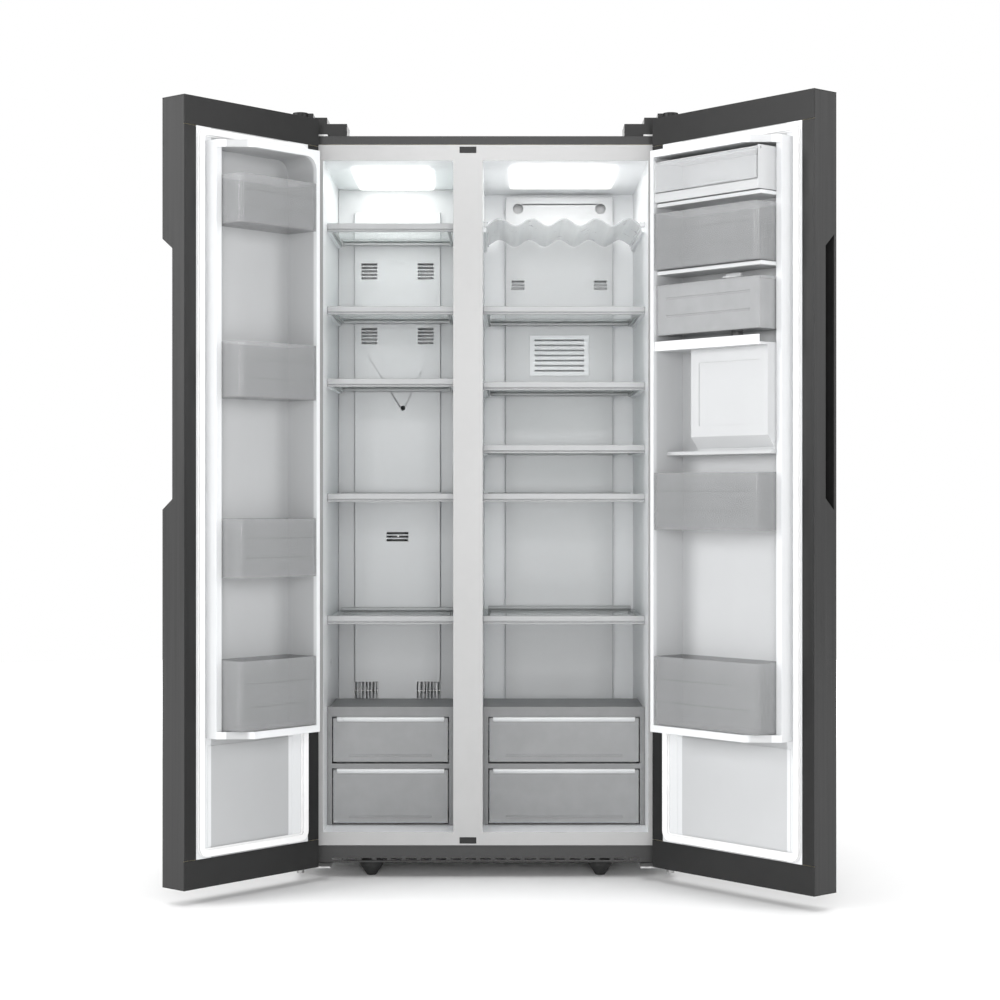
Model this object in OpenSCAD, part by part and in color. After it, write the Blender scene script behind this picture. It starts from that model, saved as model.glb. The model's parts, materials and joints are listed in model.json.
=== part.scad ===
// Side by side refrigerator with both doors swung open on their hinges.
// Millimetres, +Z up, front towards -Y. The origin is on the floor, under the middle of the
// cabinet's front plane. Heights given in percent run from the compartment floor (0) to its
// ceiling (100), so shelves, bins and tank follow the overall height.

/* [Cabinet] */
// overall width of the cabinet
cab_w = 910; // [760:1:1100]
// depth of the cabinet without its doors
cab_d = 620; // [520:1:760]
// height of the cabinet's top above the floor
cab_top = 1757; // [1450:1:2110]
// height of the cabinet's lower edge above the floor
skirt_z = 35; // [30:1:45]
// thickness of the insulated side walls
side_wall = 70; // [58:1:85]
// thickness of the insulated top
top_wall = 58; // [48:1:70]
// thickness of the insulated back
back_wall = 58; // [48:1:70]
// width of the mullion between the compartments
mullion_w = 70; // [58:1:84]
// distance of the mullion's middle to the left of the cabinet's middle
mullion_left = 42; // [0:1:60]
// height of the compartment floors
floor_z = 108; // [100:1:130]
// thickness of steel sheet
sheet = 1.2; // [1:0.1:1.5]
// thickness of moulded liners
liner_t = 2.5; // [2:0.1:3]
// width of the steel edge folded in around the front
return_w = 20; // [16:1:24]
// thickness of the light face frame
frame_t = 1.6; // [1.3:0.1:2]
// height of the base pan above the floor
pan_z = 78; // [70:1:90]
// depth of the machine space at the back
machine_d = 190; // [160:1:220]
// height of the machine space's roof
machine_top = 262; // [240:1:300]
// insulation between machine space and compartments
machine_wall = 40; // [30:1:50]
// running and fitting clearance between separate parts
clear = 0.5; // [0.4:0.1:1]
// radial clearance of pins and shafts in their bores
pin_clear = 0.05; // [0.03:0.01:0.1]

/* [Feet and rollers] */
// distance of each foot and roller from the middle
foot_x = 273; // [200:1:300]
// distance of the front feet behind the front plane
foot_y = 48; // [40:1:70]
// radius of a foot's pad
pad_r = 12; // [10:0.5:15]
// radius of a foot's turning disc
disc_r = 28; // [22:1:32]
// radius of a foot's threaded stud
stud_r = 5; // [4:0.5:6]
// width of the base channels
channel_w = 44; // [38:1:52]
// thickness of the base channels and tray
channel_t = 3; // [2:0.5:4]
// height of the base channels' lower edge
channel_z = 44; // [40:1:50]
// radius of the rear rollers
roller_r = 20; // [16:1:24]
// width of the rear rollers
roller_w = 22; // [18:1:26]
// radius of the roller axle
axle_r = 4; // [3:0.5:5]
// distance of the roller axle from the back
roller_back = 60; // [45:1:80]

/* [Hinges] */
// distance of the hinge axis from the door's side edge
hinge_in = 20; // [16:1:24]
// distance of the hinge axis from the door's inner face
hinge_back = 40; // [36:1:44]
// radius of the hinge pins
pin_r = 5; // [4:0.5:6]
// length of a hinge pin inside the door
pin_len = 22; // [16:1:28]
// thickness of the hinge plates
plate_t = 4; // [3:0.5:5]
// length of the hinge plates along the cabinet
plate_len = 100; // [80:1:120]
// height of the hinge covers above the doors
cover_up = 10; // [8:1:14]
// length of the hinge covers from front to back
cover_len = 96; // [80:1:120]
// width of a hinge cover's high part inward from its pin
cover_main = 58; // [40:1:70]
// width of a hinge cover's low part inward from its pin
cover_wide = 105; // [80:1:130]
// drop of a hinge cover's low part below the door's hinge plate
cover_drop = 5; // [2:1:10]
// angle of the open doors
door_open = 131; // [90:1:134]

/* [Doors] */
// thickness of a door between its outer and inner faces
door_t = 74; // [62:1:86]
// height of the doors' top above the floor
door_over = 30; // [24:1:36]
// gap between the doors' inner faces and the cabinet
gasket_gap = 8; // [7:0.5:10]
// gap between the two doors when closed
door_gap = 6; // [4:1:10]
// width of the steel folded in around the doors' inner faces
border_w = 34; // [28:1:38]
// height of the end caps' lips on the doors' inner faces
cap_lip = 64; // [54:1:72]
// thickness of the end caps' lips
cap_lip_t = 3; // [2:0.5:4]
// height of the end caps at the doors' edges
cap_h = 26; // [22:1:32]
// thickness of the doors' steel sheet
door_sheet = 1; // [0.8:0.1:1.2]
// distance of the gasket from the doors' edges
gasket_in = 38; // [34:1:40]
// width of the gasket
gasket_w = 20; // [16:1:22]
// distance of the raised rim from the hinge edge
rim_hinge = 82; // [78:1:95]
// distance of the raised rim from the free edge
rim_free = 62; // [60:1:72]
// distance of the raised rim from the top edge
rim_end = 96; // [94:1:110]
// width of the raised rim
rim_w = 16; // [12:1:20]
// height of the raised rim along the free edge
rim_up = 35; // [28:1:42]
// height of the raised rim along the hinge edge and ends
rim_deep = 95; // [70:1:98]
// length of the rim's slope towards the free edge
rim_slope = 60; // [40:1:80]
// radius of the left rim's inner corner at the hinge edge
rim_r = 30; // [10:1:40]
// reach of the door bins above the inner face
bin_reach = 98; // [80:1:100]
// wall thickness of bins and boxes
bin_t = 2.5; // [2:0.1:3]
// depth of the groove around the flat lower door panel
groove_t = 1.2; // [0.8:0.1:1.6]
// width of that groove
groove_w = 6; // [4:1:10]
// distance of that groove from the panel's ends
groove_in = 12; // [6:1:20]

/* [Grips] */
// place of the grips' middle in percent
grip_at = 67; // [55:1:72]
// height of the grips
grip_h = 602; // [400:1:640]
// width of the grip notch from the free edge
grip_w = 28; // [24:1:34]
// depth of the grip notch from the outer face
grip_deep = 36; // [30:1:42]
// reach of the finger pocket behind the outer face
pocket_w = 24; // [18:1:30]
// thickness of the outer face over the finger pocket
pocket_lip = 8; // [6:1:12]
// thickness of the grip's shell
grip_t = 2; // [1.5:0.1:2.5]
// slope length at the ends of the grip notch
grip_slope = 26; // [15:1:40]

/* [Door bins] */
// place of the lowest bins in percent
bin_a = 17.4; // [10:0.1:19]
// height of the lowest bins
bin_a_h = 155; // [110:1:170]
// place of the second left bin in percent
bin_b = 38.6; // [34:0.1:45]
// height of the second left bin
bin_b_h = 131; // [90:1:150]
// place of the third left bin in percent
bin_c = 63.7; // [55:0.1:70]
// height of the third left bin
bin_c_h = 124; // [90:1:150]
// place of the top left bin in percent
bin_d = 87.9; // [80:0.1:88.5]
// height of the top left bin
bin_d_h = 108; // [70:1:115]
// gap between the water housing and the bin below it
bin_e_gap = 54; // [30:1:60]
// height of the upper right bin
bin_e_h = 130; // [90:1:150]

/* [Water and dairy] */
// gap between the dairy box and the raised rim
dairy_gap = 3; // [2:1:20]
// height of the dairy box
dairy_h = 95; // [80:1:110]
// height of the dairy box's fixed front lip
dairy_lip = 18; // [12:1:26]
// radius of the dairy flap's hinge pins
flap_pin_r = 3; // [2:0.5:4]
// thickness of the moulded ledges under the dairy box and the bin
ledge_t = 8; // [6:1:10]
// gap between those ledges and what stands over them
ledge_gap = 2; // [1:0.5:4]
// depth of those ledges
ledge_reach = 84; // [60:1:92]
// gap between the dairy box and the bin below it
bin_f_gap = 26; // [20:1:40]
// height of the bin below the dairy box
bin_f_h = 128; // [80:1:130]
// gap between that bin and the water tank's filler
tank_gap = 28; // [24:1:40]
// height of the water tank
tank_h = 120; // [100:1:140]
// reach of the water tank above the inner face
tank_reach = 92; // [75:1:96]
// radius of the tank's filler cap
filler_r = 26; // [20:1:30]
// radius of the tank valve
valve_r = 13; // [9:1:16]
// gap between the tank and the water housing
valve_gap = 36; // [32:1:60]
// width of the water housing
housing_w = 230; // [190:1:236]
// height of the water housing
housing_h = 222; // [200:1:240]
// reach of the water housing above the inner face
housing_reach = 62; // [50:1:70]

/* [Dispenser] */
// place of the niche's middle in percent
niche_at = 59; // [54:0.1:62]
// width of the dispenser niche
niche_w = 180; // [140:1:200]
// height of the niche
niche_h = 364; // [300:1:380]
// depth of the niche into the door
niche_deep = 56; // [40:1:57]
// height of the control panel
panel_h = 103; // [80:1:120]
// thickness of the niche's shell
niche_t = 2.5; // [2:0.1:3]
// width of the paddle
paddle_w = 72; // [50:1:90]
// length of the paddle
paddle_h = 108; // [80:1:130]
// height of the drip tray
drip_h = 14; // [10:1:18]

/* [Shelves] */
// lowest shelf in percent
shelf_a = 31.6; // [28:0.1:34]
// second shelf in percent
shelf_b = 50.2; // [45:0.1:53]
// third freezer shelf in percent
shelf_c = 67.7; // [62:0.1:70]
// fourth freezer shelf in percent
shelf_d = 78.7; // [74:0.1:82]
// top shelf in percent
shelf_e = 91.3; // [86:0.1:92]
// third fridge shelf in percent
shelf_f = 57.6; // [55:0.1:60]
// fourth fridge shelf in percent
shelf_g = 67.2; // [64:0.1:70]
// distance of shelf fronts behind the front plane
shelf_front = 108; // [104:1:125]
// thickness of shelf glass
glass_t = 4; // [3:0.5:5]
// height of shelf trims
trim_h = 20; // [14:1:26]
// depth of shelf trims
trim_d = 14; // [10:1:20]
// number of waves of the bottle rack
wave_count = 5; // [3:1:7]
// half the height of the bottle rack's waves
wave_up = 9; // [5:1:14]
// thickness of the bottle rack
rack_t = 3; // [2:0.5:4]
// reach of the shelf ledges from the walls
ledge_w = 8; // [6:1:12]
// height of the shelf ledges
ledge_h = 12; // [8:1:16]

/* [Drawers] */
// top of the drawer frames in percent
frame_at = 18; // [16:0.1:20]
// thickness of the drawer frame's bars
bar = 12; // [9:1:14]
// depth of the drawers
drawer_d = 262; // [220:1:266]
// travel of the drawers
drawer_travel = 190; // [120:1:200]
// reach of the drawer lips over the runners
lip = 8; // [6:1:10]
// gap between drawer fronts and frame bars
drawer_gap = 3; // [2:0.5:5]

/* [Air ducts] */
// distance of the freezer duct panel behind the front plane
duct_y = 470; // [460:1:480]
// thickness of the duct panels
duct_t = 3; // [2:0.5:4]
// height of the duct panel's raised middle
duct_up = 14; // [8:1:18]
// width of the freezer duct panel's raised middle
duct_w = 222; // [190:1:228]
// distance of the air slots from the freezer duct's middle
slot_x = 73; // [60:1:78]
// half the length of the freezer duct's air slots
slot_half = 20; // [14:1:26]
// half the length of the air slots in front of the fan
fan_slot_half = 28; // [20:1:40]
// width of every air slot
slot_w = 5; // [4:0.5:7]
// distance between air slots
slot_step = 9; // [8:0.5:12]
// distance of the return slots from the freezer duct's middle
return_x = 80; // [60:1:84]
// height of the return slots
return_h = 78; // [50:1:90]
// thickness of the fridge duct
fridge_duct_d = 38; // [28:1:46]
// width of the fridge duct
fridge_duct_w = 282; // [240:1:300]
// distance of the fridge air slots from the duct's middle
fridge_slot_x = 108; // [90:1:116]
// half the length of the fridge air slots
fridge_slot_half = 16; // [10:1:20]
// radius of the round air outlets
outlet_r = 13; // [9:1:16]
// radius of the fans
fan_r = 56; // [45:1:62]
// place of the evaporator fan in percent
fan_at = 43.5; // [42:0.1:47]
// distance of the evaporator fan behind the duct panel
fan_off = 36; // [30:1:44]
// radius of the fans' shafts
shaft_r = 2; // [1.5:0.5:3]
// thickness of the ceiling lamps
lamp_t = 6; // [4:1:9]
// length of the freezer lamp across the compartment
fz_lamp_w = 190; // [150:1:215]
// length of the fridge lamp across the compartment
fr_lamp_w = 258; // [200:1:300]
// depth of both lamps from front to back
lamp_d = 322; // [240:1:328]
// distance of the freezer lamp behind the front plane
fz_lamp_y = 120; // [80:1:124]
// distance of the fridge lamp behind the front plane
fr_lamp_y = 96; // [80:1:160]
// place of the filter cover's middle in percent
filter_at = 73.2; // [72:0.1:74]
// width of the filter cover
filter_w = 156; // [130:1:180]
// height of the filter cover
filter_h = 106; // [90:1:120]

/* [Machine space] */
// how far the power inlet stands out at the back
inlet_out = 10; // [6:1:16]
// radius of the compressor's can
comp_r = 72; // [60:1:78]
// height of the compressor's can
comp_h = 138; // [110:1:150]
// distance of the compressor to the left of the middle
comp_x = 236; // [150:1:260]
// width of the condenser
cond_w = 230; // [180:1:250]
// distance of the condenser from the cabinet's side
cond_side = 62; // [50:1:80]
// distance of the condenser fan to the right of the middle
cond_fan_x = 10; // [0:1:40]
// number of condenser fins
fins = 18; // [12:1:24]
// thickness of fins
fin_t = 1; // [0.8:0.1:1.5]
// radius of refrigerant tubes
tube_r = 4; // [3:0.5:5]

/* [Hidden] */
$fn = 48;
eps = 1;
half = cab_w / 2;
mull_x = -mullion_left;
fz_l = -half + side_wall;
fz_r = mull_x - mullion_w / 2;
fr_l = mull_x + mullion_w / 2;
fr_r = half - side_wall;
fz_mid = (fz_l + fz_r) / 2;
fr_mid = (fr_l + fr_r) / 2;
ceil_z = cab_top - top_wall;
rear_y = cab_d - back_wall;
machine_y = cab_d - machine_d;
low_y = machine_y - machine_wall - liner_t;
step_z = machine_top + machine_wall;
door_low = skirt_z + 1;
door_top = cab_top + door_over;
door_h = door_top - door_low;
door_edge = half - 1;
fz_door_w = door_edge + mull_x - door_gap / 2;
fr_door_w = door_edge - mull_x - door_gap / 2;
pivot_x = door_edge - hinge_in;
pivot_y = -gasket_gap - hinge_back;
tray_z = skirt_z + 1;
tray_y = machine_y + 8;
grip_z0 = level(grip_at) - grip_h / 2;
grip_z1 = level(grip_at) + grip_h / 2;
rim_z1 = door_top - rim_end;
rim_z0 = level(bin_a) - rim_w - 2;
bin_l = rim_hinge + rim_w + clear;
fz_bin_r = fz_door_w - rim_free - rim_w - clear;
fr_bin_r = fr_door_w - rim_free - rim_w - clear;
house_r = fr_bin_r;
house_l = house_r - housing_w;
house_mid = (house_l + house_r) / 2;
niche_l = house_mid - niche_w / 2;
niche_r = house_mid + niche_w / 2;
niche_z0 = level(niche_at) - niche_h / 2;
niche_z1 = level(niche_at) + niche_h / 2;
panel_z = niche_z1 - panel_h;
// the flap's top edge passes under the rim as it swings
flap_room = norm([12, 1.5]) - 6;
dairy_z1 = rim_z1 - rim_w - flap_room - dairy_gap;
dairy_z0 = dairy_z1 - dairy_h;
bin_f_z = dairy_z0 - bin_f_gap - bin_f_h;
tank_z1 = bin_f_z - tank_gap;
tank_z0 = tank_z1 - tank_h;
house_z1 = tank_z0 - valve_gap;
house_z0 = house_z1 - housing_h;
bin_e_z = house_z0 - bin_e_gap - bin_e_h;
mid_x = (fz_door_w - fr_door_w) * cos(door_open) / 2;
front_y = pivot_y - (fr_bin_r - hinge_in) * sin(door_open) + (bin_reach + hinge_back) * cos(door_open);
mid_y = (front_y + cab_d + inlet_out) / 2;
flap_y = door_t + bin_reach - 14;
flap_z = dairy_z1 - 6;
tank_y0 = door_t + 1;
tank_y1 = door_t + tank_reach - 6;
tank_mid = (tank_y0 + tank_y1) / 2;
valve_y = door_t + housing_reach * 0.55;
paddle_y = niche_deep - 14;
paddle_z = panel_z - 14;
filter_z = level(filter_at);
duct_face = duct_y - duct_up;
shelf_back = duct_face - 6;
fridge_back = rear_y - fridge_duct_d;
fridge_shelf_back = fridge_back - 6;
draw_top = level(frame_at);
draw_half = (floor_z + draw_top) / 2;
draw_y0 = shelf_front;
draw_y1 = draw_y0 + drawer_d;
fz_levels = [level(shelf_a), level(shelf_b), level(shelf_c), level(shelf_d), level(shelf_e)];
fr_levels = [level(shelf_a), level(shelf_b), level(shelf_f), level(shelf_g), level(shelf_d)];

// height at a given percent between compartment floor and ceiling
function level(pc) = floor_z + (ceil_z - floor_z) * pc / 100;

// moves the middle of the whole footprint over the origin
module centred() {
  translate([-mid_x, -mid_y, 0])
    children();
}

// block between two opposite corners
module span(a, b) {
  translate(a)
    cube(b - a);
}

// prism along X from a profile in the YZ plane
module side_prism(x0, x1, profile) {
  translate([x0, 0, 0])
    rotate([90, 0, 90])
      linear_extrude(x1 - x0)
        polygon(profile);
}

// round bar along Y
module bar_y(x, z, y0, y1, r) {
  translate([x, y0, z])
    rotate([-90, 0, 0])
      cylinder(r = r, h = y1 - y0);
}

// round bar along X
module bar_x(y, z, x0, x1, r) {
  translate([x0, y, z])
    rotate([0, 90, 0])
      cylinder(r = r, h = x1 - x0);
}

// space of a compartment, grown on all sides but the front
module cavity(x0, x1, grow, front) {
  side_prism(x0 - grow, x1 + grow, [
    [front, floor_z - grow],
    [low_y + grow, floor_z - grow],
    [low_y + grow, step_z - grow],
    [rear_y + grow, step_z - grow],
    [rear_y + grow, ceil_z + grow],
    [front, ceil_z + grow]
  ]);
}

module liner(x0, x1, levels, back) {
  difference() {
    cavity(x0, x1, liner_t, frame_t);
    cavity(x0, x1, 0, frame_t - eps);
  }
  for (z = levels) {
    span([x0 - eps, shelf_front + trim_d, z - glass_t - ledge_h], [x0 + ledge_w, back, z - glass_t]);
    span([x1 - ledge_w, shelf_front + trim_d, z - glass_t - ledge_h], [x1 + eps, back, z - glass_t]);
  }
}

module shelf_plate(x0, x1, z, back) {
  span([x0 + clear, shelf_front + trim_d / 2, z - glass_t], [x1 - clear, back, z]);
}

module shelf_trim(x0, x1, z, back) {
  difference() {
    union() {
      span([x0 + clear, shelf_front, z - trim_h + 4], [x1 - clear, shelf_front + trim_d - clear, z + 4]);
      span([x0 + ledge_w + 2, back - trim_d, z - trim_h / 2], [x1 - ledge_w - 2, back + 3, z + 8]);
      for (x = [x0 + ledge_w + 2, x1 - ledge_w - 8])
        span([x, shelf_front + 1, z - glass_t - 8], [x + 6, back - 1, z - glass_t]);
    }
    shelf_plate(x0, x1, z, back);
    span([x0, shelf_front - eps, z - trim_h + 8], [x1, shelf_front + 2, z - trim_h + 10]);
  }
}

// drawer frame: cover shelf, side posts, middle bar and runners
module drawer_frame(x0, x1) {
  span([x0 + clear, draw_y0, draw_top - bar], [x1 - clear, low_y - clear, draw_top - bar / 2]);
  span([x0 + clear, draw_y0, draw_top - 2 * bar], [x1 - clear, draw_y0 + bar, draw_top]);
  for (x = [x0 + clear, x1 - clear - bar])
    span([x, draw_y0, floor_z + clear], [x + bar, draw_y0 + bar, draw_top]);
  span([x0 + clear, draw_y0, draw_half - bar / 2], [x1 - clear, draw_y0 + bar, draw_half + bar / 2]);
  span([x0 + clear, low_y - bar, draw_half - bar / 2], [x1 - clear, low_y - clear, draw_half + bar / 2]);
  for (z = [runner_z(draw_half), runner_z(draw_top - bar)]) {
    span([x0 + clear, draw_y0 + bar, z - 6], [x0 + bar + drawer_gap + lip, low_y - 1, z - 3]);
    span([x0 + clear, draw_y0 + 1, z - 6], [x0 + clear + 2, low_y - 1, z + 7 + bar * 1.5]);
    span([x1 - bar - drawer_gap - lip, draw_y0 + bar, z - 6], [x1 - clear, low_y - 1, z - 3]);
    span([x1 - clear - 2, draw_y0 + 1, z - 6], [x1 - clear, low_y - 1, z + 7 + bar * 1.5]);
  }
}

// height of a drawer's lip below the bar above it
function runner_z(top) = top - bar / 2 - bar - 6;

// drawer between two bars, with a scooped front
module drawer(x0, x1, low, top, front_top) {
  l = x0 + bar + drawer_gap + lip + 2;
  r = x1 - bar - drawer_gap - lip - 2;
  z1 = runner_z(top);
  difference() {
    union() {
      span([l, draw_y0 + 4, low], [r, draw_y1, z1]);
      span([x0 + bar + drawer_gap, draw_y0 + 2, low + 1], [x1 - bar - drawer_gap, draw_y0 + 8, front_top]);
      span([l - lip, draw_y0 + 8, z1 - 2.4], [r + lip, draw_y1, z1]);
    }
    span([l + bin_t, draw_y0 + 8, low + bin_t], [r - bin_t, draw_y1 - bin_t, z1 + eps]);
  }
  span([l + 30, draw_y0 + 0.5, low + 14], [r - 30, draw_y0 + 3, low + 18]);
}

// flat fan with tilted blades, turning about +Z through its hub
module fan(r, blades, hub) {
  difference() {
    cylinder(r = hub, h = 18, center = true);
    translate([0, 0, -4])
      cylinder(r = hub - 3, h = 18);
    cylinder(r = shaft_r + pin_clear, h = 40, center = true);
  }
  for (i = [0 : blades - 1])
    rotate([0, 0, i * 360 / blades])
      translate([hub - 2, -11, -0.8])
        rotate([32, 0, 0])
          cube([r - hub + 2, 22, 1.6]);
}

// finned tube block between two corners, fins across X
module fin_block(x0, x1, y0, y1, z0, z1, rows) {
  for (i = [0 : fins - 1]) {
    x = x0 + (x1 - x0 - fin_t) * i / (fins - 1);
    span([x, y0, z0], [x + fin_t, y1, z1]);
  }
  for (i = [0 : rows - 1]) {
    z = z0 + (z1 - z0) * (i + 0.5) / rows;
    bar_x((y0 + y1) / 2, z, x0 - 6, x1 + 6, tube_r);
    if (i < rows - 1)
      translate([i % 2 == 0 ? x1 + 6 : x0 - 6, (y0 + y1) / 2, z])
        cylinder(r = tube_r, h = (z1 - z0) / rows);
  }
}

// ------------------------------------------------------------------ cabinet

module outer_wrap() {
  color("#3a3a3c") centred()
    difference() {
      span([-half, 0, skirt_z], [half, cab_d - sheet - clear, cab_top]);
      span([-half + sheet, sheet, skirt_z - eps], [half - sheet, cab_d + eps, cab_top - sheet]);
      span([-half + return_w, -eps, skirt_z - eps], [half - return_w, sheet + eps, cab_top - return_w]);
    }
}

module back_panel() {
  color("#8d8f92") centred() {
    span([-half, cab_d - sheet, machine_top + clear], [half, cab_d, cab_top]);
    for (i = [-2 : 2])
      span([i * half / 3 - 12, cab_d - eps / 2, step_z + 30], [i * half / 3 + 12, cab_d + 4, cab_top - 60]);
  }
}

module base_pan() {
  color("#9a9c9f") centred()
    side_prism(-half + sheet, half - sheet, [
      [frame_t, pan_z - sheet],
      [machine_y, pan_z - sheet],
      [machine_y, machine_top - sheet],
      [cab_d - sheet, machine_top - sheet],
      [cab_d - sheet, machine_top],
      [machine_y - sheet, machine_top],
      [machine_y - sheet, pan_z],
      [frame_t, pan_z]
    ]);
}

module cabinet_foam() {
  color("#e8dcae") centred()
    difference() {
      side_prism(-half + sheet, half - sheet, [
        [frame_t, pan_z],
        [machine_y - sheet, pan_z],
        [machine_y - sheet, machine_top],
        [cab_d - sheet, machine_top],
        [cab_d - sheet, cab_top - sheet],
        [frame_t, cab_top - sheet]
      ]);
      cavity(fz_l, fz_r, liner_t, 0);
      cavity(fr_l, fr_r, liner_t, 0);
    }
}

module freezer_liner() {
  color("#e9eaeb") centred()
    liner(fz_l, fz_r, fz_levels, shelf_back);
}

module fridge_liner() {
  color("#eeeff0") centred()
    liner(fr_l, fr_r, concat(fr_levels, [level(shelf_e)]), fridge_shelf_back);
}

module plug_at(z) {
  span([mull_x - 20, 0, z], [mull_x + 20, frame_t, z + 15]);
}

module front_frame() {
  color("#d9dadb") centred()
    difference() {
      span([-half + return_w + clear, 0, pan_z - sheet], [half - return_w - clear, frame_t, cab_top - return_w - clear]);
      cavity(fz_l, fz_r, 0, -eps);
      cavity(fr_l, fr_r, 0, -eps);
      for (z = [pan_z + 3, cab_top - return_w - 20])
        translate([mull_x, 0, z + 7.5])
          cube([40, 20, 15], center = true);
    }
}

module mullion_plugs() {
  color("#4a4a4c") centred()
    for (z = [pan_z + 3, cab_top - return_w - 20])
      plug_at(z);
}

module kick_plate() {
  x = half - 32;
  top = pan_z - sheet - clear;
  color("#515154") centred()
    difference() {
      union() {
        span([-x, 2, skirt_z + 1], [x, 5, top]);
        span([-x, 2, top - 3], [x, 18, top]);
        span([-x, 2, skirt_z + 1], [x, 12, skirt_z + 4]);
      }
      for (i = [-10 : 10])
        span([i * x / 12 - 12, 0, skirt_z + 7], [i * x / 12 + 12, 8, skirt_z + 11]);
    }
}

module base_channels() {
  color("#77797c") centred()
    for (s = [-1, 1])
      translate([s * foot_x, 0, 0])
        difference() {
          span([-channel_w / 2, 24, channel_z], [channel_w / 2, machine_y - sheet - 2, pan_z - sheet]);
          span([-channel_w / 2 + channel_t, 24 - eps, channel_z - eps], [channel_w / 2 - channel_t, machine_y, pan_z - sheet - channel_t]);
          translate([0, foot_y, channel_z])
            cylinder(r = stud_r + clear, h = pan_z);
        }
}

module levelling_feet() {
  color("#2c2c2e") centred()
    for (s = [-1, 1])
      translate([s * foot_x, foot_y, 0]) {
        cylinder(r1 = pad_r - 1, r2 = pad_r, h = 2);
        translate([0, 0, 2])
          cylinder(r1 = pad_r, r2 = disc_r, h = skirt_z - 11);
        translate([0, 0, skirt_z - 9])
          cylinder(r = disc_r, h = 9);
        translate([0, 0, skirt_z])
          cylinder(r = stud_r, h = pan_z - sheet - skirt_z - 1);
        translate([0, 0, pan_z - sheet - channel_t - 8])
          cylinder(r = stud_r * 1.9, h = 8, $fn = 6);
      }
}

module bracket_pair() {
  // upper plate on the cabinet's top, reaching over the door
  translate([-pivot_x, 0, 0]) {
    span([-hinge_in + 8, pivot_y, door_top + clear], [24, -14, door_top + clear + plate_t]);
    translate([0, pivot_y, door_top + clear])
      cylinder(r = 16, h = plate_t);
    span([-hinge_in + 8, -18, door_top + clear], [24, 4, door_top + clear + plate_t]);
    span([-hinge_in + 8, 0, cab_top], [24, plate_t, door_top + clear + plate_t]);
    span([-hinge_in + 8, 0, cab_top], [60, cover_len - 40, cab_top + plate_t]);
    translate([0, pivot_y, door_top - pin_len])
      cylinder(r = pin_r, h = pin_len + clear + plate_t);
    for (y = [18, 42])
      translate([36, y, cab_top + plate_t])
        cylinder(r = 6, h = 4, $fn = 6);
  }
  // lower plate under the cabinet's front corner
  translate([-pivot_x, 0, skirt_z - plate_t]) {
    span([-hinge_in + 4, pivot_y, 0], [plate_len - hinge_in - 10, 0, plate_t]);
    translate([0, pivot_y, 0])
      cylinder(r = 15, h = plate_t);
    span([-hinge_in + 4, -6, 0], [plate_len - hinge_in - 10, 36, plate_t]);
    translate([0, pivot_y, 0])
      cylinder(r = pin_r, h = plate_t + door_low - skirt_z + pin_len);
    translate([0, pivot_y, -10])
      cylinder(r = 9, h = 10, $fn = 6);
    translate([0, 12, -5])
      cylinder(r = 6, h = 5, $fn = 6);
    translate([30, 12, -5])
      cylinder(r = 6, h = 5, $fn = 6);
  }
}

module hinge_brackets() {
  color("#6c6e71") centred() {
    bracket_pair();
    mirror([1, 0, 0])
      bracket_pair();
  }
}

module hinge_cover() {
  low = door_top + clear + plate_t + clear;
  step_top = low - cover_drop;
  translate([-pivot_x, 0, 0])
    difference() {
      union() {
        translate([0, pivot_y, low])
          cylinder(r = 18, h = cover_up);
        span([-18, pivot_y, low], [30, 10, low + cover_up]);
        span([-18, 6, cab_top], [cover_main, cover_len, low + cover_up]);
        span([-18, 6, cab_top], [cover_wide, cover_len, step_top]);
      }
      span([-14, 10, cab_top - eps], [cover_main - 4, cover_len - 4, low]);
      span([-14, 10, cab_top - eps], [cover_wide - 4, cover_len - 4, step_top - 3]);
      span([-14, 6 - eps, cab_top - eps], [62, 10 + eps, cab_top + plate_t + clear]);
    }
}

module hinge_covers() {
  color("#4c4d50") centred() {
    hinge_cover();
    mirror([1, 0, 0])
      hinge_cover();
  }
}

module lamp(x0, x1, y0, y1) {
  r = 12;
  z = ceil_z - lamp_t;
  translate([0, 0, z]) {
    span([x0 + r, y0, 0], [x1 - r, y1, lamp_t]);
    span([x0, y0 + r, 0], [x1, y1 - r, lamp_t]);
    for (x = [x0 + r, x1 - r])
      for (y = [y0 + r, y1 - r])
        translate([x, y, 0])
          cylinder(r = r, h = lamp_t);
  }
}

module lamps() {
  color("#fdfdf8") centred() {
    lamp(fz_mid - fz_lamp_w / 2, fz_mid + fz_lamp_w / 2, fz_lamp_y, fz_lamp_y + lamp_d);
    lamp(fr_mid - fr_lamp_w / 2, fr_mid + fr_lamp_w / 2, fr_lamp_y, fr_lamp_y + lamp_d);
  }
}

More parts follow.
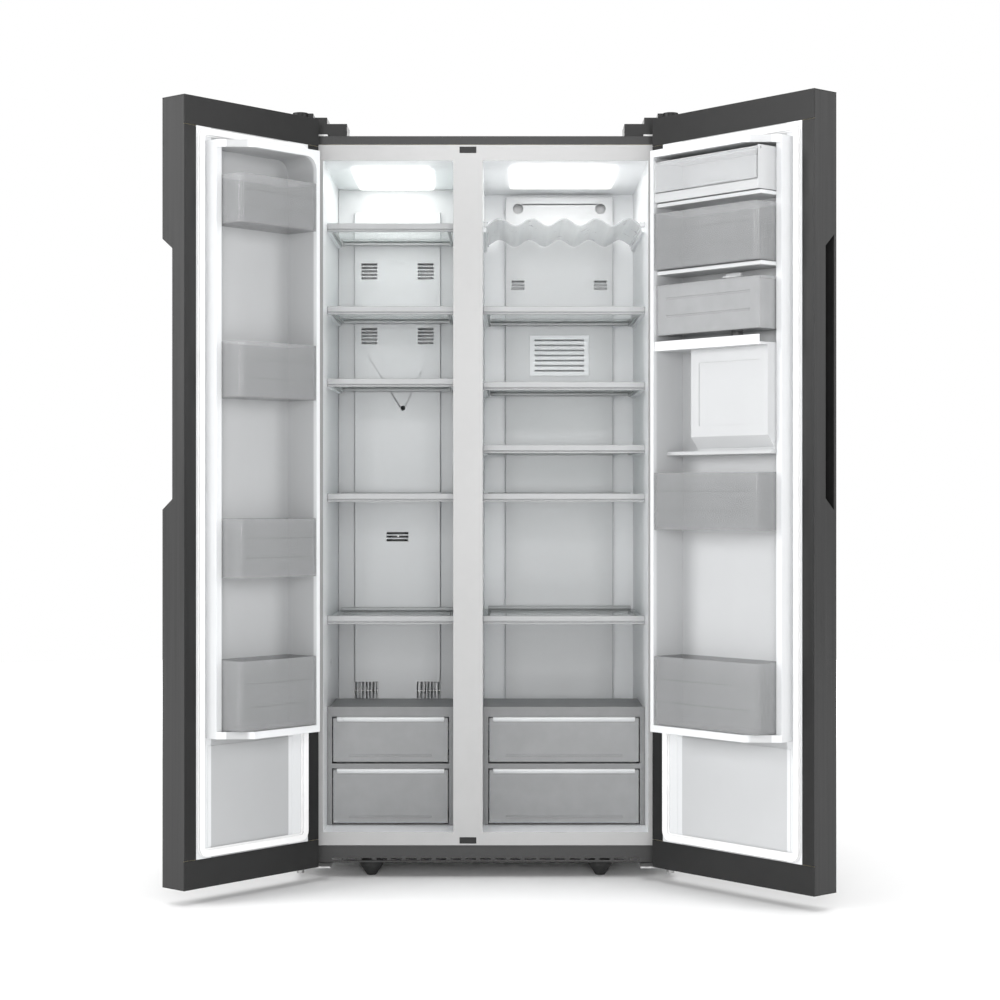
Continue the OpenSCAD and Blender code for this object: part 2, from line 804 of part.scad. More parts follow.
module freezer_duct() {
  x0 = fz_mid - duct_w / 2;
  x1 = fz_mid + duct_w / 2;
  color("#d3d6da") centred()
    difference() {
      union() {
        span([fz_l + clear, duct_y, step_z + clear], [fz_r - clear, duct_y + duct_t, ceil_z - clear]);
        span([x0, duct_face, step_z + 20], [x1, duct_y + eps, ceil_z - 60]);
      }
      span([x0 + duct_t, duct_face + duct_t, step_z + 20 + duct_t], [x1 - duct_t, duct_y + duct_t + eps, ceil_z - 60 - duct_t]);
      for (s = [-1, 1])
        translate([fz_mid + s * slot_x, 0, 0]) {
          for (pc = [86.6, 76.1])
            for (i = [-2 : 2])
              span([-slot_half, duct_face - eps, level(pc) + i * slot_step - slot_w / 2], [slot_half, duct_y, level(pc) + i * slot_step + slot_w / 2]);
        }
      for (s = [-1, 1])
        for (i = [-3 : 3])
          translate([fz_mid + s * return_x + i * slot_step, 0, level(15)])
            span([-slot_w / 2, duct_face - eps, 0], [slot_w / 2, duct_y + duct_t + eps, return_h]);
      for (i = [-1 : 1])
        span([fz_mid - fan_slot_half, duct_face - eps, level(fan_at) + i * slot_step - slot_w / 2], [fz_mid + fan_slot_half, duct_y, level(fan_at) + i * slot_step + slot_w / 2]);
      bar_y(fz_mid + 14, level(64.4), duct_face - eps, duct_y, 6);
    }
}

module fridge_duct() {
  x0 = fr_mid - fridge_duct_w / 2;
  x1 = fr_mid + fridge_duct_w / 2;
  z0 = step_z + 40;
  z1 = ceil_z - 12;
  y1 = fridge_back + duct_t + eps;
  color("#d0d3d7") centred()
    difference() {
      span([x0, fridge_back, z0], [x1, rear_y, z1]);
      span([x0 + duct_t, fridge_back + duct_t, z0 + duct_t], [x1 - duct_t, rear_y + eps, z1 - duct_t]);
      for (s = [-1, 1])
        translate([fr_mid + s * fridge_slot_x, 0, 0]) {
          bar_y(0, z1 - 30, fridge_back - eps, y1, outlet_r);
          for (i = [-1 : 1])
            span([-fridge_slot_half, fridge_back - eps, level(84.8) + i * slot_step - slot_w / 2], [fridge_slot_half, y1, level(84.8) + i * slot_step + slot_w / 2]);
        }
      span([fr_mid - filter_w / 2 + 12, fridge_back - eps, filter_z - filter_h / 2 + 12], [fr_mid + filter_w / 2 - 12, y1, filter_z + filter_h / 2 - 12]);
    }
}

module filter_cover() {
  z0 = filter_z - filter_h / 2;
  color("#bfc3c8") centred()
    difference() {
      span([fr_mid - filter_w / 2, fridge_back - 5, z0], [fr_mid + filter_w / 2, fridge_back, z0 + filter_h]);
      for (i = [1 : 7])
        span([fr_mid - filter_w / 2 + 14, fridge_back - 6, z0 + i * filter_h / 8 - 2], [fr_mid + filter_w / 2 - 14, fridge_back + eps, z0 + i * filter_h / 8 + 2]);
    }
}

module freezer_glass() {
  color("#cfe0e2", 0.4) centred()
    for (z = fz_levels)
      shelf_plate(fz_l, fz_r, z, shelf_back);
}

module freezer_trims() {
  color("#dfe1e3") centred()
    for (z = fz_levels)
      shelf_trim(fz_l, fz_r, z, shelf_back);
}

module fridge_glass() {
  color("#cfe0e2", 0.4) centred()
    for (z = fr_levels)
      shelf_plate(fr_l, fr_r, z, fridge_shelf_back);
}

module fridge_trims() {
  color("#dfe1e3") centred()
    for (z = fr_levels)
      shelf_trim(fr_l, fr_r, z, fridge_shelf_back);
}

// height of the wavy rack's upper face above its level, x across the compartment
function wave(x, wide) = -wave_up * cos(360 * wave_count * x / wide);

module bottle_rack() {
  z = level(shelf_e);
  wide = fr_r - fr_l - 2 * clear;
  steps = 12 * wave_count;
  upper = [for (i = [0 : steps]) [i * wide / steps, wave(i * wide / steps, wide)]];
  lower = [for (i = [steps : -1 : 0]) [i * wide / steps, wave(i * wide / steps, wide) - rack_t]];
  color("#c8cdd2") centred() {
    translate([fr_l + clear, fridge_shelf_back, z + wave_up - glass_t + rack_t])
      rotate([90, 0, 0])
        linear_extrude(fridge_shelf_back - shelf_front)
          polygon(concat(upper, lower));
    for (x = [fr_l + clear, fr_r - clear - ledge_w - 4])
      span([x, shelf_front, z - glass_t], [x + ledge_w + 4, fridge_shelf_back, z + wave_up - 2]);
  }
}

module freezer_drawer_frame() {
  color("#808287") centred()
    drawer_frame(fz_l, fz_r);
}

module crisper_frame() {
  color("#808287") centred()
    drawer_frame(fr_l, fr_r);
}

module freezer_drawer_low() {
  color("#a9acb1", 0.85) centred()
    drawer(fz_l, fz_r, floor_z + 4, draw_half, draw_half - bar / 2 - drawer_gap);
}

module freezer_drawer_top() {
  color("#a9acb1", 0.85) centred()
    drawer(fz_l, fz_r, draw_half + bar / 2 + 3, draw_top - bar, draw_top - 2 * bar - drawer_gap);
}

module crisper_low() {
  color("#a9acb1", 0.85) centred()
    drawer(fr_l, fr_r, floor_z + 4, draw_half, draw_half - bar / 2 - drawer_gap);
}

module crisper_top() {
  color("#a9acb1", 0.85) centred()
    drawer(fr_l, fr_r, draw_half + bar / 2 + 3, draw_top - bar, draw_top - 2 * bar - drawer_gap);
}

// ------------------------------------------------------------------ machine space

module machine_tray() {
  x = half - sheet - 6;
  color("#6f7174") centred()
    difference() {
      union() {
        span([-x, tray_y, tray_z], [x, cab_d - 10, tray_z + channel_t]);
        for (y = [tray_y, cab_d - 13])
          span([-x, y, tray_z], [x, y + 3, tray_z + 12]);
        for (s = [-1, 1])
          for (e = [-1, 1])
            translate([s * foot_x + e * (roller_w / 2 + 4), cab_d - roller_back, 0])
              span([-1.5, -14, roller_r - 10], [1.5, 14, tray_z + eps]);
      }
      for (s = [-1, 1])
        span([s * foot_x - roller_w / 2 - 1, cab_d - roller_back - roller_r - 2, tray_z - eps], [s * foot_x + roller_w / 2 + 1, cab_d - roller_back + roller_r + 2, tray_z + channel_t + eps]);
      bar_x(cab_d - roller_back, roller_r, -half, half, axle_r + pin_clear);
    }
}

module roller_set() {
  color("#2f2f31") centred() {
    for (s = [-1, 1])
      bar_x(cab_d - roller_back, roller_r, s * foot_x - roller_w / 2, s * foot_x + roller_w / 2, roller_r);
    bar_x(cab_d - roller_back, roller_r, -foot_x - roller_w, foot_x + roller_w, axle_r);
    for (s = [-1, 1])
      for (e = [-1, 1])
        bar_x(cab_d - roller_back, roller_r, s * foot_x + e * (roller_w / 2 + 1) - 1.2, s * foot_x + e * (roller_w / 2 + 1) + 1.2, axle_r * 2);
  }
}

module compressor() {
  x = -comp_x;
  y = tray_y + comp_r + 12;
  z = tray_z + channel_t + 10;
  color("#1f2022") centred()
    translate([x, y, z]) {
      translate([0, 0, 8])
        rotate_extrude()
          polygon([
            [0, 0], [comp_r * 0.7, 0], [comp_r, 14], [comp_r, comp_h * 0.45],
            [comp_r + 4, comp_h * 0.45], [comp_r + 4, comp_h * 0.5], [comp_r, comp_h * 0.5],
            [comp_r * 0.98, comp_h * 0.78], [comp_r * 0.82, comp_h * 0.92], [comp_r * 0.5, comp_h], [0, comp_h]
          ]);
      for (sx = [-1, 1])
        for (sy = [-1, 1]) {
          translate([sx * comp_r * 0.95, sy * comp_r * 0.75, -10])
            cylinder(r = 9, h = 14);
          translate([sx * comp_r * 0.95, sy * comp_r * 0.75, 3])
            cylinder(r = 4, h = 12);
        }
      for (sy = [-1, 1])
        span([-comp_r - 8, sy * comp_r * 0.75 - 10, 4], [comp_r + 8, sy * comp_r * 0.75 + 10, 9]);
      span([comp_r - 8, -24, 30], [comp_r + 20, 24, 78]);
    }
}

module condenser() {
  x0 = half - cond_side - cond_w;
  x1 = half - cond_side;
  color("#35373a") centred() {
    fin_block(x0, x1, tray_y + 42, tray_y + 110, tray_z + 24, machine_top - 40, 6);
    for (x = [x0 - 6 - tube_r, x1 + 6])
      span([x, tray_y + 50, tray_z + channel_t], [x + tube_r, tray_y + 100, machine_top - 40]);
    bar_x(tray_y + 76, (tray_z + machine_top) / 2, cond_fan_x - 10, x0 - 6, shaft_r);
    bar_x(tray_y + 76, (tray_z + machine_top) / 2, cond_fan_x - 2, x0 - 6, 11);
  }
}

module condenser_fan() {
  color("#26272a") centred()
    translate([cond_fan_x, tray_y + 76, (tray_z + machine_top) / 2])
      rotate([0, 90, 0])
        fan(fan_r, 5, 16);
}

module machine_cover() {
  x = half - sheet - 8;
  color("#8d8f92") centred()
    difference() {
      span([-x, cab_d - 4, tray_z + channel_t + 1], [x, cab_d - 2, machine_top - sheet - 2]);
      for (i = [-12 : 12])
        for (z = [tray_z + 40, tray_z + 90, tray_z + 140])
          span([i * x / 14 - 7, cab_d - 6, z], [i * x / 14 + 7, cab_d, z + 30]);
      bar_y(x - 30, machine_top - 30, cab_d - 8, cab_d + eps, 11);
    }
}

module power_inlet() {
  x = half - sheet - 38;
  color("#19191b") centred()
    difference() {
      union() {
        bar_y(x, machine_top - 30, cab_d - 2, cab_d + inlet_out, 14);
        bar_y(x, machine_top - 30, cab_d - 10, cab_d - 1, 10.5);
        bar_y(x, machine_top - 30, cab_d - 14, cab_d - 4, 13);
      }
      bar_y(x, machine_top - 30, cab_d - 6, cab_d + inlet_out + eps, 4.5);
      difference() {
        bar_y(x, machine_top - 30, cab_d - 4, cab_d - 2, 20);
        bar_y(x, machine_top - 30, cab_d - 5, cab_d - 1, 10.5);
      }
    }
}

module evaporator() {
  color("#b9bdc1") centred() {
    fin_block(fz_l + 24, fz_r - 24, duct_y + 16, rear_y - 10, step_z + 30, level(36), 8);
    for (x = [fz_l + 18 - tube_r, fz_r - 18])
      span([x, duct_y + 22, step_z], [x + tube_r, rear_y, level(36)]);
    bar_y(fz_mid, level(fan_at), duct_y + fan_off - 10, rear_y, shaft_r);
    bar_y(fz_mid, level(fan_at), duct_y + fan_off - 2, rear_y, 11);
  }
}

module evaporator_fan() {
  color("#e4e6e8") centred()
    translate([fz_mid, duct_y + fan_off, level(fan_at)])
      rotate([-90, 0, 0])
        fan(fan_r, 7, 18);
}

// ------------------------------------------------------------------ doors
// A door is drawn lying in its own frame: X from the hinge edge, Y from the outer face inwards.

module door_place() {
  translate([-pivot_x, pivot_y, 0])
    rotate([0, 0, -door_open])
      translate([-hinge_in, hinge_back - door_t, 0])
        children();
}

module freezer_place() {
  door_place()
    children();
}

module fridge_place() {
  mirror([1, 0, 0])
    door_place()
      children();
}

// outline of the grip notch in the free edge, swept over the grip's height
// recess in the free edge; its front opens through the outer face when front is below 0
module grip_notch(w, grow, front) {
  translate([w - grip_w - grow, 0, 0])
    rotate([90, 0, 90])
      linear_extrude(grip_w + grow + eps)
        polygon([
          [front - grow, grip_z0 - grow],
          [grip_deep + grow, grip_z0 + grip_slope - grow],
          [grip_deep + grow, grip_z1 - grip_slope + grow],
          [front - grow, grip_z1 + grow]
        ]);
}

// finger pocket behind the outer face
module grip_pocket(w, grow) {
  span([w - grip_w - pocket_w - grow, pocket_lip - grow, grip_z0 + grip_slope - grow], [w - grip_w + eps, grip_deep + grow, grip_z1 - grip_slope + grow]);
}

module door_shell(w, front) {
  difference() {
    span([0, 0, door_low + 2], [w, door_t, door_top - 2]);
    span([door_sheet, door_sheet, 0], [w - door_sheet, door_t - door_sheet, door_top + eps]);
    span([border_w, door_t / 2, 0], [w - border_w, door_t + eps, door_top + eps]);
    for (z = [door_low, door_top - cap_lip])
      span([-eps, door_t - cap_lip_t, z - eps], [w + eps, door_t + eps, z + cap_lip + eps]);
    grip_notch(w, 0, front);
  }
}

module door_cap(w, low, up) {
  // low: height of the end plate; up: 1 for the lower cap, -1 for the upper cap
  translate([0, 0, low])
    mirror([0, 0, up > 0 ? 0 : 1])
      difference() {
        union() {
          span([door_sheet, door_sheet, 0], [w - door_sheet, door_t - door_sheet, cap_h]);
          span([0, 0, 0], [w, door_t, 2]);
          span([0, door_t - cap_lip_t, 0], [w, door_t, cap_lip]);
        }
        span([hinge_in + 12, door_sheet + 4, 5], [w - door_sheet - 4, door_t - 7, cap_h + eps]);
        translate([hinge_in, door_t - hinge_back, -eps])
          cylinder(r = pin_r + pin_clear, h = pin_len + 2);
      }
}

module door_caps(w) {
  door_cap(w, door_low, 1);
  door_cap(w, door_top, -1);
}

module rim_space(w) {
  span([rim_hinge + rim_w, door_t - eps, rim_z0 + rim_w], [w - rim_free - rim_w, door_t + rim_deep + eps, rim_z1 - rim_w]);
}

// rounded inner corner of the rim at the hinge edge
module rim_corner() {
  x = rim_hinge + rim_w;
  z = rim_z1 - rim_w;
  difference() {
    span([x - eps, door_t - eps, z - rim_r], [x + rim_r, door_t + rim_deep, z + eps]);
    bar_y(x + rim_r, z - rim_r, door_t - 2 * eps, door_t + rim_deep + eps, rim_r);
  }
}

module door_rim(w) {
  difference() {
    translate([0, 0, rim_z0])
      linear_extrude(rim_z1 - rim_z0)
        polygon([
          [rim_hinge, door_t - eps],
          [w - rim_free, door_t - eps],
          [w - rim_free, door_t + rim_up],
          [w - rim_free - rim_slope, door_t + rim_deep],
          [rim_hinge + 6, door_t + rim_deep],
          [rim_hinge, door_t + rim_deep - 6]
        ]);
    difference() {
      rim_space(w);
      span([0, door_t - 2 * eps, 0], [w, door_t, door_top]);
    }
    span([w - rim_free - rim_w - eps, door_t + rim_up, rim_z0 + rim_w], [w, door_t + rim_deep + eps, rim_z1 - rim_w]);
  }
}

module door_panel(w) {
  z0 = door_low + cap_lip + clear;
  z1 = door_top - cap_lip - clear;
  difference() {
    union() {
      span([border_w + clear, door_t - liner_t, z0], [w - border_w - clear, door_t, z1]);
      door_rim(w);
    }
    difference() {
      span([rim_hinge, door_t - groove_t, floor_z + groove_in], [w - rim_free, door_t + eps, rim_z0 - groove_in]);
      span([rim_hinge + groove_w, door_t - 2 * groove_t, floor_z + groove_in + groove_w], [w - rim_free - groove_w, door_t + 2 * eps, rim_z0 - groove_in - groove_w]);
    }
  }
}

module door_gasket(w) {
  z0 = door_low + cap_lip + clear + 3;
  z1 = door_top - cap_lip - clear - 3;
  thick = gasket_gap - clear;
  difference() {
    union() {
      span([gasket_in, door_t, z0], [w - gasket_in, door_t + thick - 3, z1]);
      span([gasket_in + 5, door_t, z0 + 5], [w - gasket_in - 5, door_t + thick, z1 - 5]);
    }
    span([gasket_in + gasket_w, door_t - eps, z0 + gasket_w], [w - gasket_in - gasket_w, door_t + thick + eps, z1 - gasket_w]);
    difference() {
      span([gasket_in - eps, door_t + 2, z0 - eps], [w - gasket_in + eps, door_t + 3.4, z1 + eps]);
      span([gasket_in + 4, door_t + 1, z0 + 4], [w - gasket_in - 4, door_t + 5, z1 - 4]);
    }
  }
}

module door_foam(w, front) {
  z0 = door_low + cap_h + clear;
  z1 = door_top - cap_h - clear;
  difference() {
    span([door_sheet, door_sheet, z0], [w - door_sheet, door_t - liner_t - 0.6, z1]);
    grip_notch(w, grip_t, front);
    grip_pocket(w, grip_t);
  }
}

module door_grip(w, front) {
  difference() {
    intersection() {
      union() {
        grip_notch(w, grip_t - 0.1, front);
        grip_pocket(w, grip_t - 0.1);
      }
      span([0, door_sheet, 0], [w - door_sheet, door_t - liner_t, door_top]);
    }
    grip_notch(w, 0, front);
    grip_pocket(w, 0);
  }
}

// open-topped bin hung between the rims
module door_bin(x0, x1, z0, h) {
  y0 = door_t + 0.6;
  y1 = door_t + bin_reach;
  difference() {
    union() {
      span([x0, y0, z0], [x1, y1 - 8, z0 + h]);
      span([x0 + 8, y0, z0], [x1 - 8, y1, z0 + h]);
      for (x = [x0 + 8, x1 - 8])
        translate([x, y1 - 8, z0])
          cylinder(r = 8, h = h);
      span([x0, y0, z0 + h - 5], [x1, y1 - 6, z0 + h]);
    }
    span([x0 + bin_t, y0 + bin_t, z0 + bin_t], [x1 - bin_t, y1 - 9, z0 + h + eps]);
    span([x0 + 9, y0 + bin_t, z0 + bin_t], [x1 - 9, y1 - bin_t, z0 + h + eps]);
    for (i = [1 : 2])
      span([x0 + 14, y1 - 0.8, z0 + h * i / 3], [x1 - 14, y1 + eps, z0 + h * i / 3 + 3]);
  }
}

module freezer_door_skin() {
  color("#3b3b3d") centred()
    freezer_place()
      door_shell(fz_door_w, -eps);
}

module freezer_door_caps() {
  color("#333335") centred()
    freezer_place()
      door_caps(fz_door_w);
}

module freezer_door_liner() {
  color("#ececec") centred()
    freezer_place() {
      door_panel(fz_door_w);
      rim_corner();
    }
}

module freezer_door_foam() {
  color("#e8dcae") centred()
    freezer_place()
      door_foam(fz_door_w, -eps);
}

module freezer_door_gasket() {
  color("#e2e2e0") centred()
    freezer_place()
      door_gasket(fz_door_w);
}

module freezer_door_bins() {
  color("#b4b6b9", 0.85) centred()
    freezer_place() {
      door_bin(bin_l, fz_bin_r, level(bin_a), bin_a_h);
      door_bin(bin_l, fz_bin_r, level(bin_b), bin_b_h);
      door_bin(bin_l, fz_bin_r, level(bin_c), bin_c_h);
      door_bin(bin_l, fz_bin_r, level(bin_d), bin_d_h);
    }
}

module freezer_door_grip() {
  color("#262628") centred()
    freezer_place()
      door_grip(fz_door_w, -eps);
}

module niche_hole(grow) {
  span([niche_l - grow, -eps, niche_z0 - grow], [niche_r + grow, door_t - liner_t - 1, niche_z1 + grow]);
}

module fridge_door_skin() {
  color("#3b3b3d") centred()
    fridge_place()
      difference() {
        door_shell(fr_door_w, pocket_lip);
        niche_hole(0);
      }
}

module fridge_door_caps() {
  color("#333335") centred()
    fridge_place()
      door_caps(fr_door_w);
}

// white housing over the water lines, moulded on the liner
module water_housing() {
  z0 = house_z0;
  z1 = house_z1;
  difference() {
    union() {
      translate([house_l, 0, 0])
        rotate([90, 0, 90])
          linear_extrude(house_r - house_l)
            polygon([
              [door_t - eps, z0], [door_t + housing_reach - 22, z0], [door_t + housing_reach, z0 + 26],
              [door_t + housing_reach, z1], [door_t - eps, z1]
            ]);
      span([bin_l, door_t - eps, z1 + clear], [fr_bin_r, door_t + tank_reach, z1 + 6]);
      span([bin_l, door_t + tank_reach - 4, z1 + clear], [fr_bin_r, door_t + tank_reach, z1 + 22]);
      span([house_l, door_t - eps, z1 - eps], [house_r, door_t + housing_reach, z1 + 2]);
      span([bin_l, door_t - eps, z0 - 14], [fr_bin_r, door_t + housing_reach - 10, z0 - 6]);
      span([house_l, door_t - eps, z0 - 8], [house_r, door_t + housing_reach - 22, z0 + eps]);
    }
    span([house_l + 24, door_t + housing_reach - 2, z0 + 50], [house_r - 24, door_t + housing_reach + eps, z1 - 30]);
    translate([house_mid, valve_y, z1 - 30])
      cylinder(r = valve_r * 0.7 + clear, h = 60);
  }
}

module fridge_door_liner() {
  color("#f1f1f1") centred()
    fridge_place() {
      door_panel(fr_door_w);
      for (z = [dairy_z0, bin_f_z])
        span([bin_l - eps, door_t - eps, z - ledge_gap - ledge_t], [fr_bin_r + eps, door_t + ledge_reach, z - ledge_gap]);
      water_housing();
    }
}

module fridge_door_foam() {
  color("#e8dcae") centred()
    fridge_place()
      difference() {
        door_foam(fr_door_w, pocket_lip);
        niche_hole(niche_t);
      }
}

module fridge_door_gasket() {
  color("#e2e2e0") centred()
    fridge_place()
      door_gasket(fr_door_w);
}

module fridge_door_bins() {
  color("#b4b6b9", 0.85) centred()
    fridge_place() {
      door_bin(bin_l, fr_bin_r, level(bin_a), bin_a_h);
      door_bin(bin_l, fr_bin_r, bin_e_z, bin_e_h);
      door_bin(bin_l, fr_bin_r, bin_f_z, bin_f_h);
    }
}

module fridge_door_grip() {
  color("#262628") centred()
    fridge_place()
      door_grip(fr_door_w, pocket_lip);
}

module dairy_box() {
  y1 = door_t + bin_reach;
  color("#f4f4f3") centred()
    fridge_place()
      difference() {
        span([bin_l, door_t + 0.6, dairy_z0], [fr_bin_r, y1 - 6, dairy_z1]);
        span([bin_l + bin_t, door_t + 0.6 + bin_t, dairy_z0 + bin_t], [fr_bin_r - bin_t, y1 - 6 - bin_t, dairy_z1 - bin_t]);
        span([bin_l + bin_t, flap_y - 4, dairy_z0 + bin_t + dairy_lip], [fr_bin_r - bin_t, y1, dairy_z1 + eps]);
        bar_x(flap_y, flap_z, bin_l - eps, fr_bin_r + eps, flap_pin_r + pin_clear);
      }
}

module dairy_flap() {
  y1 = door_t + bin_reach;
  color("#e9f0f3", 0.6) centred()
    fridge_place() {
      bar_x(flap_y, flap_z, bin_l + 0.4, fr_bin_r - 0.4, flap_pin_r);
      span([bin_l + bin_t + 1, flap_y - 2, flap_z - 1.5], [fr_bin_r - bin_t - 1, y1 - 2, flap_z + 1.5]);
      span([bin_l + bin_t + 1, y1 - 4.5, dairy_z0 + bin_t + dairy_lip + 2], [fr_bin_r - bin_t - 1, y1 - 2, flap_z + 1.5]);
      span([house_mid - 40, y1 - 3, dairy_z0 + bin_t + dairy_lip + 2], [house_mid + 40, y1 + 5, dairy_z0 + bin_t + dairy_lip + 6]);
    }
}

module water_tank() {
  y0 = tank_y0;
  y1 = tank_y1;
  neck_z = tank_z1 - 10;
  color("#b9c4cb", 0.6) centred()
    fridge_place()
      difference() {
        union() {
          span([bin_l + 2, y0, tank_z0], [fr_bin_r - 2, y1, neck_z]);
          span([bin_l, y0, neck_z - 2], [fr_bin_r, y1, neck_z + 4]);
          translate([house_mid, tank_mid, neck_z + 4 - eps])
            cylinder(r = filler_r, h = 4);
        }
        span([bin_l + 5, y0 + 3, tank_z0 + 3], [fr_bin_r - 5, y1 - 3, neck_z - eps]);
        translate([house_mid, tank_mid, tank_z1 - 20])
          cylinder(r = filler_r - 3, h = 30);
        translate([house_mid, valve_y, tank_z0 - eps])
          cylinder(r = valve_r * 0.5, h = 10);
        for (i = [1, 2])
          span([bin_l + 30, y1 - 1, tank_z0 + tank_h * i / 3], [fr_bin_r - 30, y1 + eps, tank_z0 + tank_h * i / 3 + 4]);
      }
}

// turning cap over the tank's filler, with a finger rib
module filler_cap() {
  color("#d9dcdf") centred()
    fridge_place()
      translate([house_mid, tank_mid, 0]) {
        translate([0, 0, tank_z1 - 3 + clear])
          cylinder(r = filler_r + 1, h = 4);
        translate([0, 0, tank_z1 - 8])
          cylinder(r = filler_r - 4, h = 6);
        span([-filler_r + 4, -3, tank_z1], [filler_r - 4, 3, tank_z1 + 9]);
      }
}

module tank_valve() {
  z1 = house_z1;
  color("#55595e") centred()
    fridge_place()
      translate([house_mid, valve_y, 0]) {
        translate([0, 0, z1 + 6.5])
          cylinder(r = valve_r, h = tank_z0 - z1 - 7);
        translate([0, 0, z1 - 20])
          cylinder(r = valve_r * 0.7, h = 30);
        translate([0, 0, tank_z0 - 2])
          cylinder(r = valve_r * 0.45, h = 8);
      }
}

module dispenser_niche() {
  y1 = niche_deep;
  color("#2a2b2d") centred()
    fridge_place()
      difference() {
        union() {
          span([niche_l + clear, 0, niche_z0 + clear], [niche_r - clear, y1, niche_z1 - clear]);
          span([niche_l - 4, -1.5, niche_z0 - 4], [niche_r + 4, 0, niche_z1 + 4]);
        }
        span([niche_l + clear + niche_t, -3, niche_z0 + clear + niche_t], [niche_r - clear - niche_t, y1 - niche_t, panel_z]);
        span([niche_l + clear + niche_t, -3, panel_z + niche_t], [niche_r - clear - niche_t, y1 - niche_t, niche_z1 - clear - niche_t]);
        translate([house_mid, y1 * 0.5, panel_z - eps])
          cylinder(r = 6, h = 10);
        bar_x(paddle_y, paddle_z, niche_l - 2, niche_r + 2, flap_pin_r + pin_clear);
      }
}

module control_panel() {
  color("#111214") centred()
    fridge_place()
      difference() {
        span([niche_l + clear + niche_t + clear, -1, panel_z + niche_t + clear], [niche_r - clear - niche_t - clear, 8, niche_z1 - 2 * clear - niche_t]);
        for (i = [-2 : 2])
          translate([house_mid + i * niche_w / 7, -1, (panel_z + niche_z1) / 2])
            rotate([90, 0, 0])
              cylinder(r = 7, h = 1, center = true);
      }
}

module dispenser_paddle() {
  x0 = house_mid - paddle_w / 2;
  x1 = house_mid + paddle_w / 2;
  color("#3c3e41") centred()
    fridge_place() {
      bar_x(paddle_y, paddle_z, niche_l + 1, niche_r - 1, flap_pin_r);
      span([x0, paddle_y - 4, paddle_z - paddle_h], [x1, paddle_y - 1, paddle_z]);
      span([x0, paddle_y - 10, paddle_z - paddle_h], [x1, paddle_y - 1, paddle_z - paddle_h + 3]);
      for (x = [x0, x1 - 3])
        span([x, paddle_y - 7, paddle_z - paddle_h], [x + 3, paddle_y - 1, paddle_z - 6]);
    }
}

module drip_tray() {
  x0 = niche_l + clear + niche_t + clear;
  x1 = niche_r - clear - niche_t - clear;
  z = niche_z0 + clear + niche_t + clear;
  color("#1d1e20") centred()
    fridge_place()
      difference() {
        span([x0, 0, z], [x1, niche_deep - niche_t - clear, z + drip_h]);
        span([x0 + 2, 2, z + 2], [x1 - 2, niche_deep - niche_t - clear - 2, z + drip_h - 3]);
        for (i = [-8 : 8])
          span([house_mid + i * niche_w / 20 - 2, 5, z + drip_h - 4], [house_mid + i * niche_w / 20 + 2, niche_deep - niche_t - 8, z + drip_h + eps]);
      }
}

outer_wrap();
back_panel();
base_pan();
cabinet_foam();
freezer_liner();
fridge_liner();
front_frame();
mullion_plugs();
kick_plate();
base_channels();
levelling_feet();
hinge_brackets();
hinge_covers();
lamps();
freezer_duct();
fridge_duct();
filter_cover();
freezer_glass();
freezer_trims();
fridge_glass();
fridge_trims();
bottle_rack();
freezer_drawer_frame();
crisper_frame();
machine_tray();
compressor();
condenser();
machine_cover();
power_inlet();
evaporator();
roller_set();
evaporator_fan();
condenser_fan();
freezer_drawer_top();
freezer_drawer_low();
crisper_top();
crisper_low();
freezer_door_skin();
freezer_door_caps();
freezer_door_liner();
freezer_door_foam();
freezer_door_gasket();
freezer_door_bins();
freezer_door_grip();
fridge_door_skin();
fridge_door_caps();
fridge_door_liner();
fridge_door_foam();
fridge_door_gasket();
fridge_door_bins();
fridge_door_grip();
dairy_box();
dairy_flap();
water_tank();
filler_cap();
tank_valve();
dispenser_niche();
control_panel();
dispenser_paddle();
drip_tray();
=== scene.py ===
"""Side by side refrigerator with both doors swung open, in soft studio light."""

import json
import math

import bmesh
import bpy
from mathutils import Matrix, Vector


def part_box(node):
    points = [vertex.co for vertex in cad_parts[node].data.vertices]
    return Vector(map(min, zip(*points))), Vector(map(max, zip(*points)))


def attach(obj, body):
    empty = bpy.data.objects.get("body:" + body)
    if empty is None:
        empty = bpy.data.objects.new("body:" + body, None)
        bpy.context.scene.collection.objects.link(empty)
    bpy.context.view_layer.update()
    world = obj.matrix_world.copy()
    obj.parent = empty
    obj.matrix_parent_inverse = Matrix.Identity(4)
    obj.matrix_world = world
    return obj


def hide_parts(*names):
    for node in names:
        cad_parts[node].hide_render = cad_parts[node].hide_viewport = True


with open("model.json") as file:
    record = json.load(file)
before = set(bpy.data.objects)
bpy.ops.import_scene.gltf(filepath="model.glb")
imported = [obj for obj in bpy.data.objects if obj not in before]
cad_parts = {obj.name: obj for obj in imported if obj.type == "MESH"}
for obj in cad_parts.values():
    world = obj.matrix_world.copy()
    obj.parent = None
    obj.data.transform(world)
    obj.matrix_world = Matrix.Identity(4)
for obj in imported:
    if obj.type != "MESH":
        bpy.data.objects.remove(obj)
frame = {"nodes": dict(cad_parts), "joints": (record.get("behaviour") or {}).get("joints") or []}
nodes = frame["nodes"]
joints = {j["name"]: j for j in frame["joints"]}
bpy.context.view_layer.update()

MM = 0.001
scene = bpy.context.scene


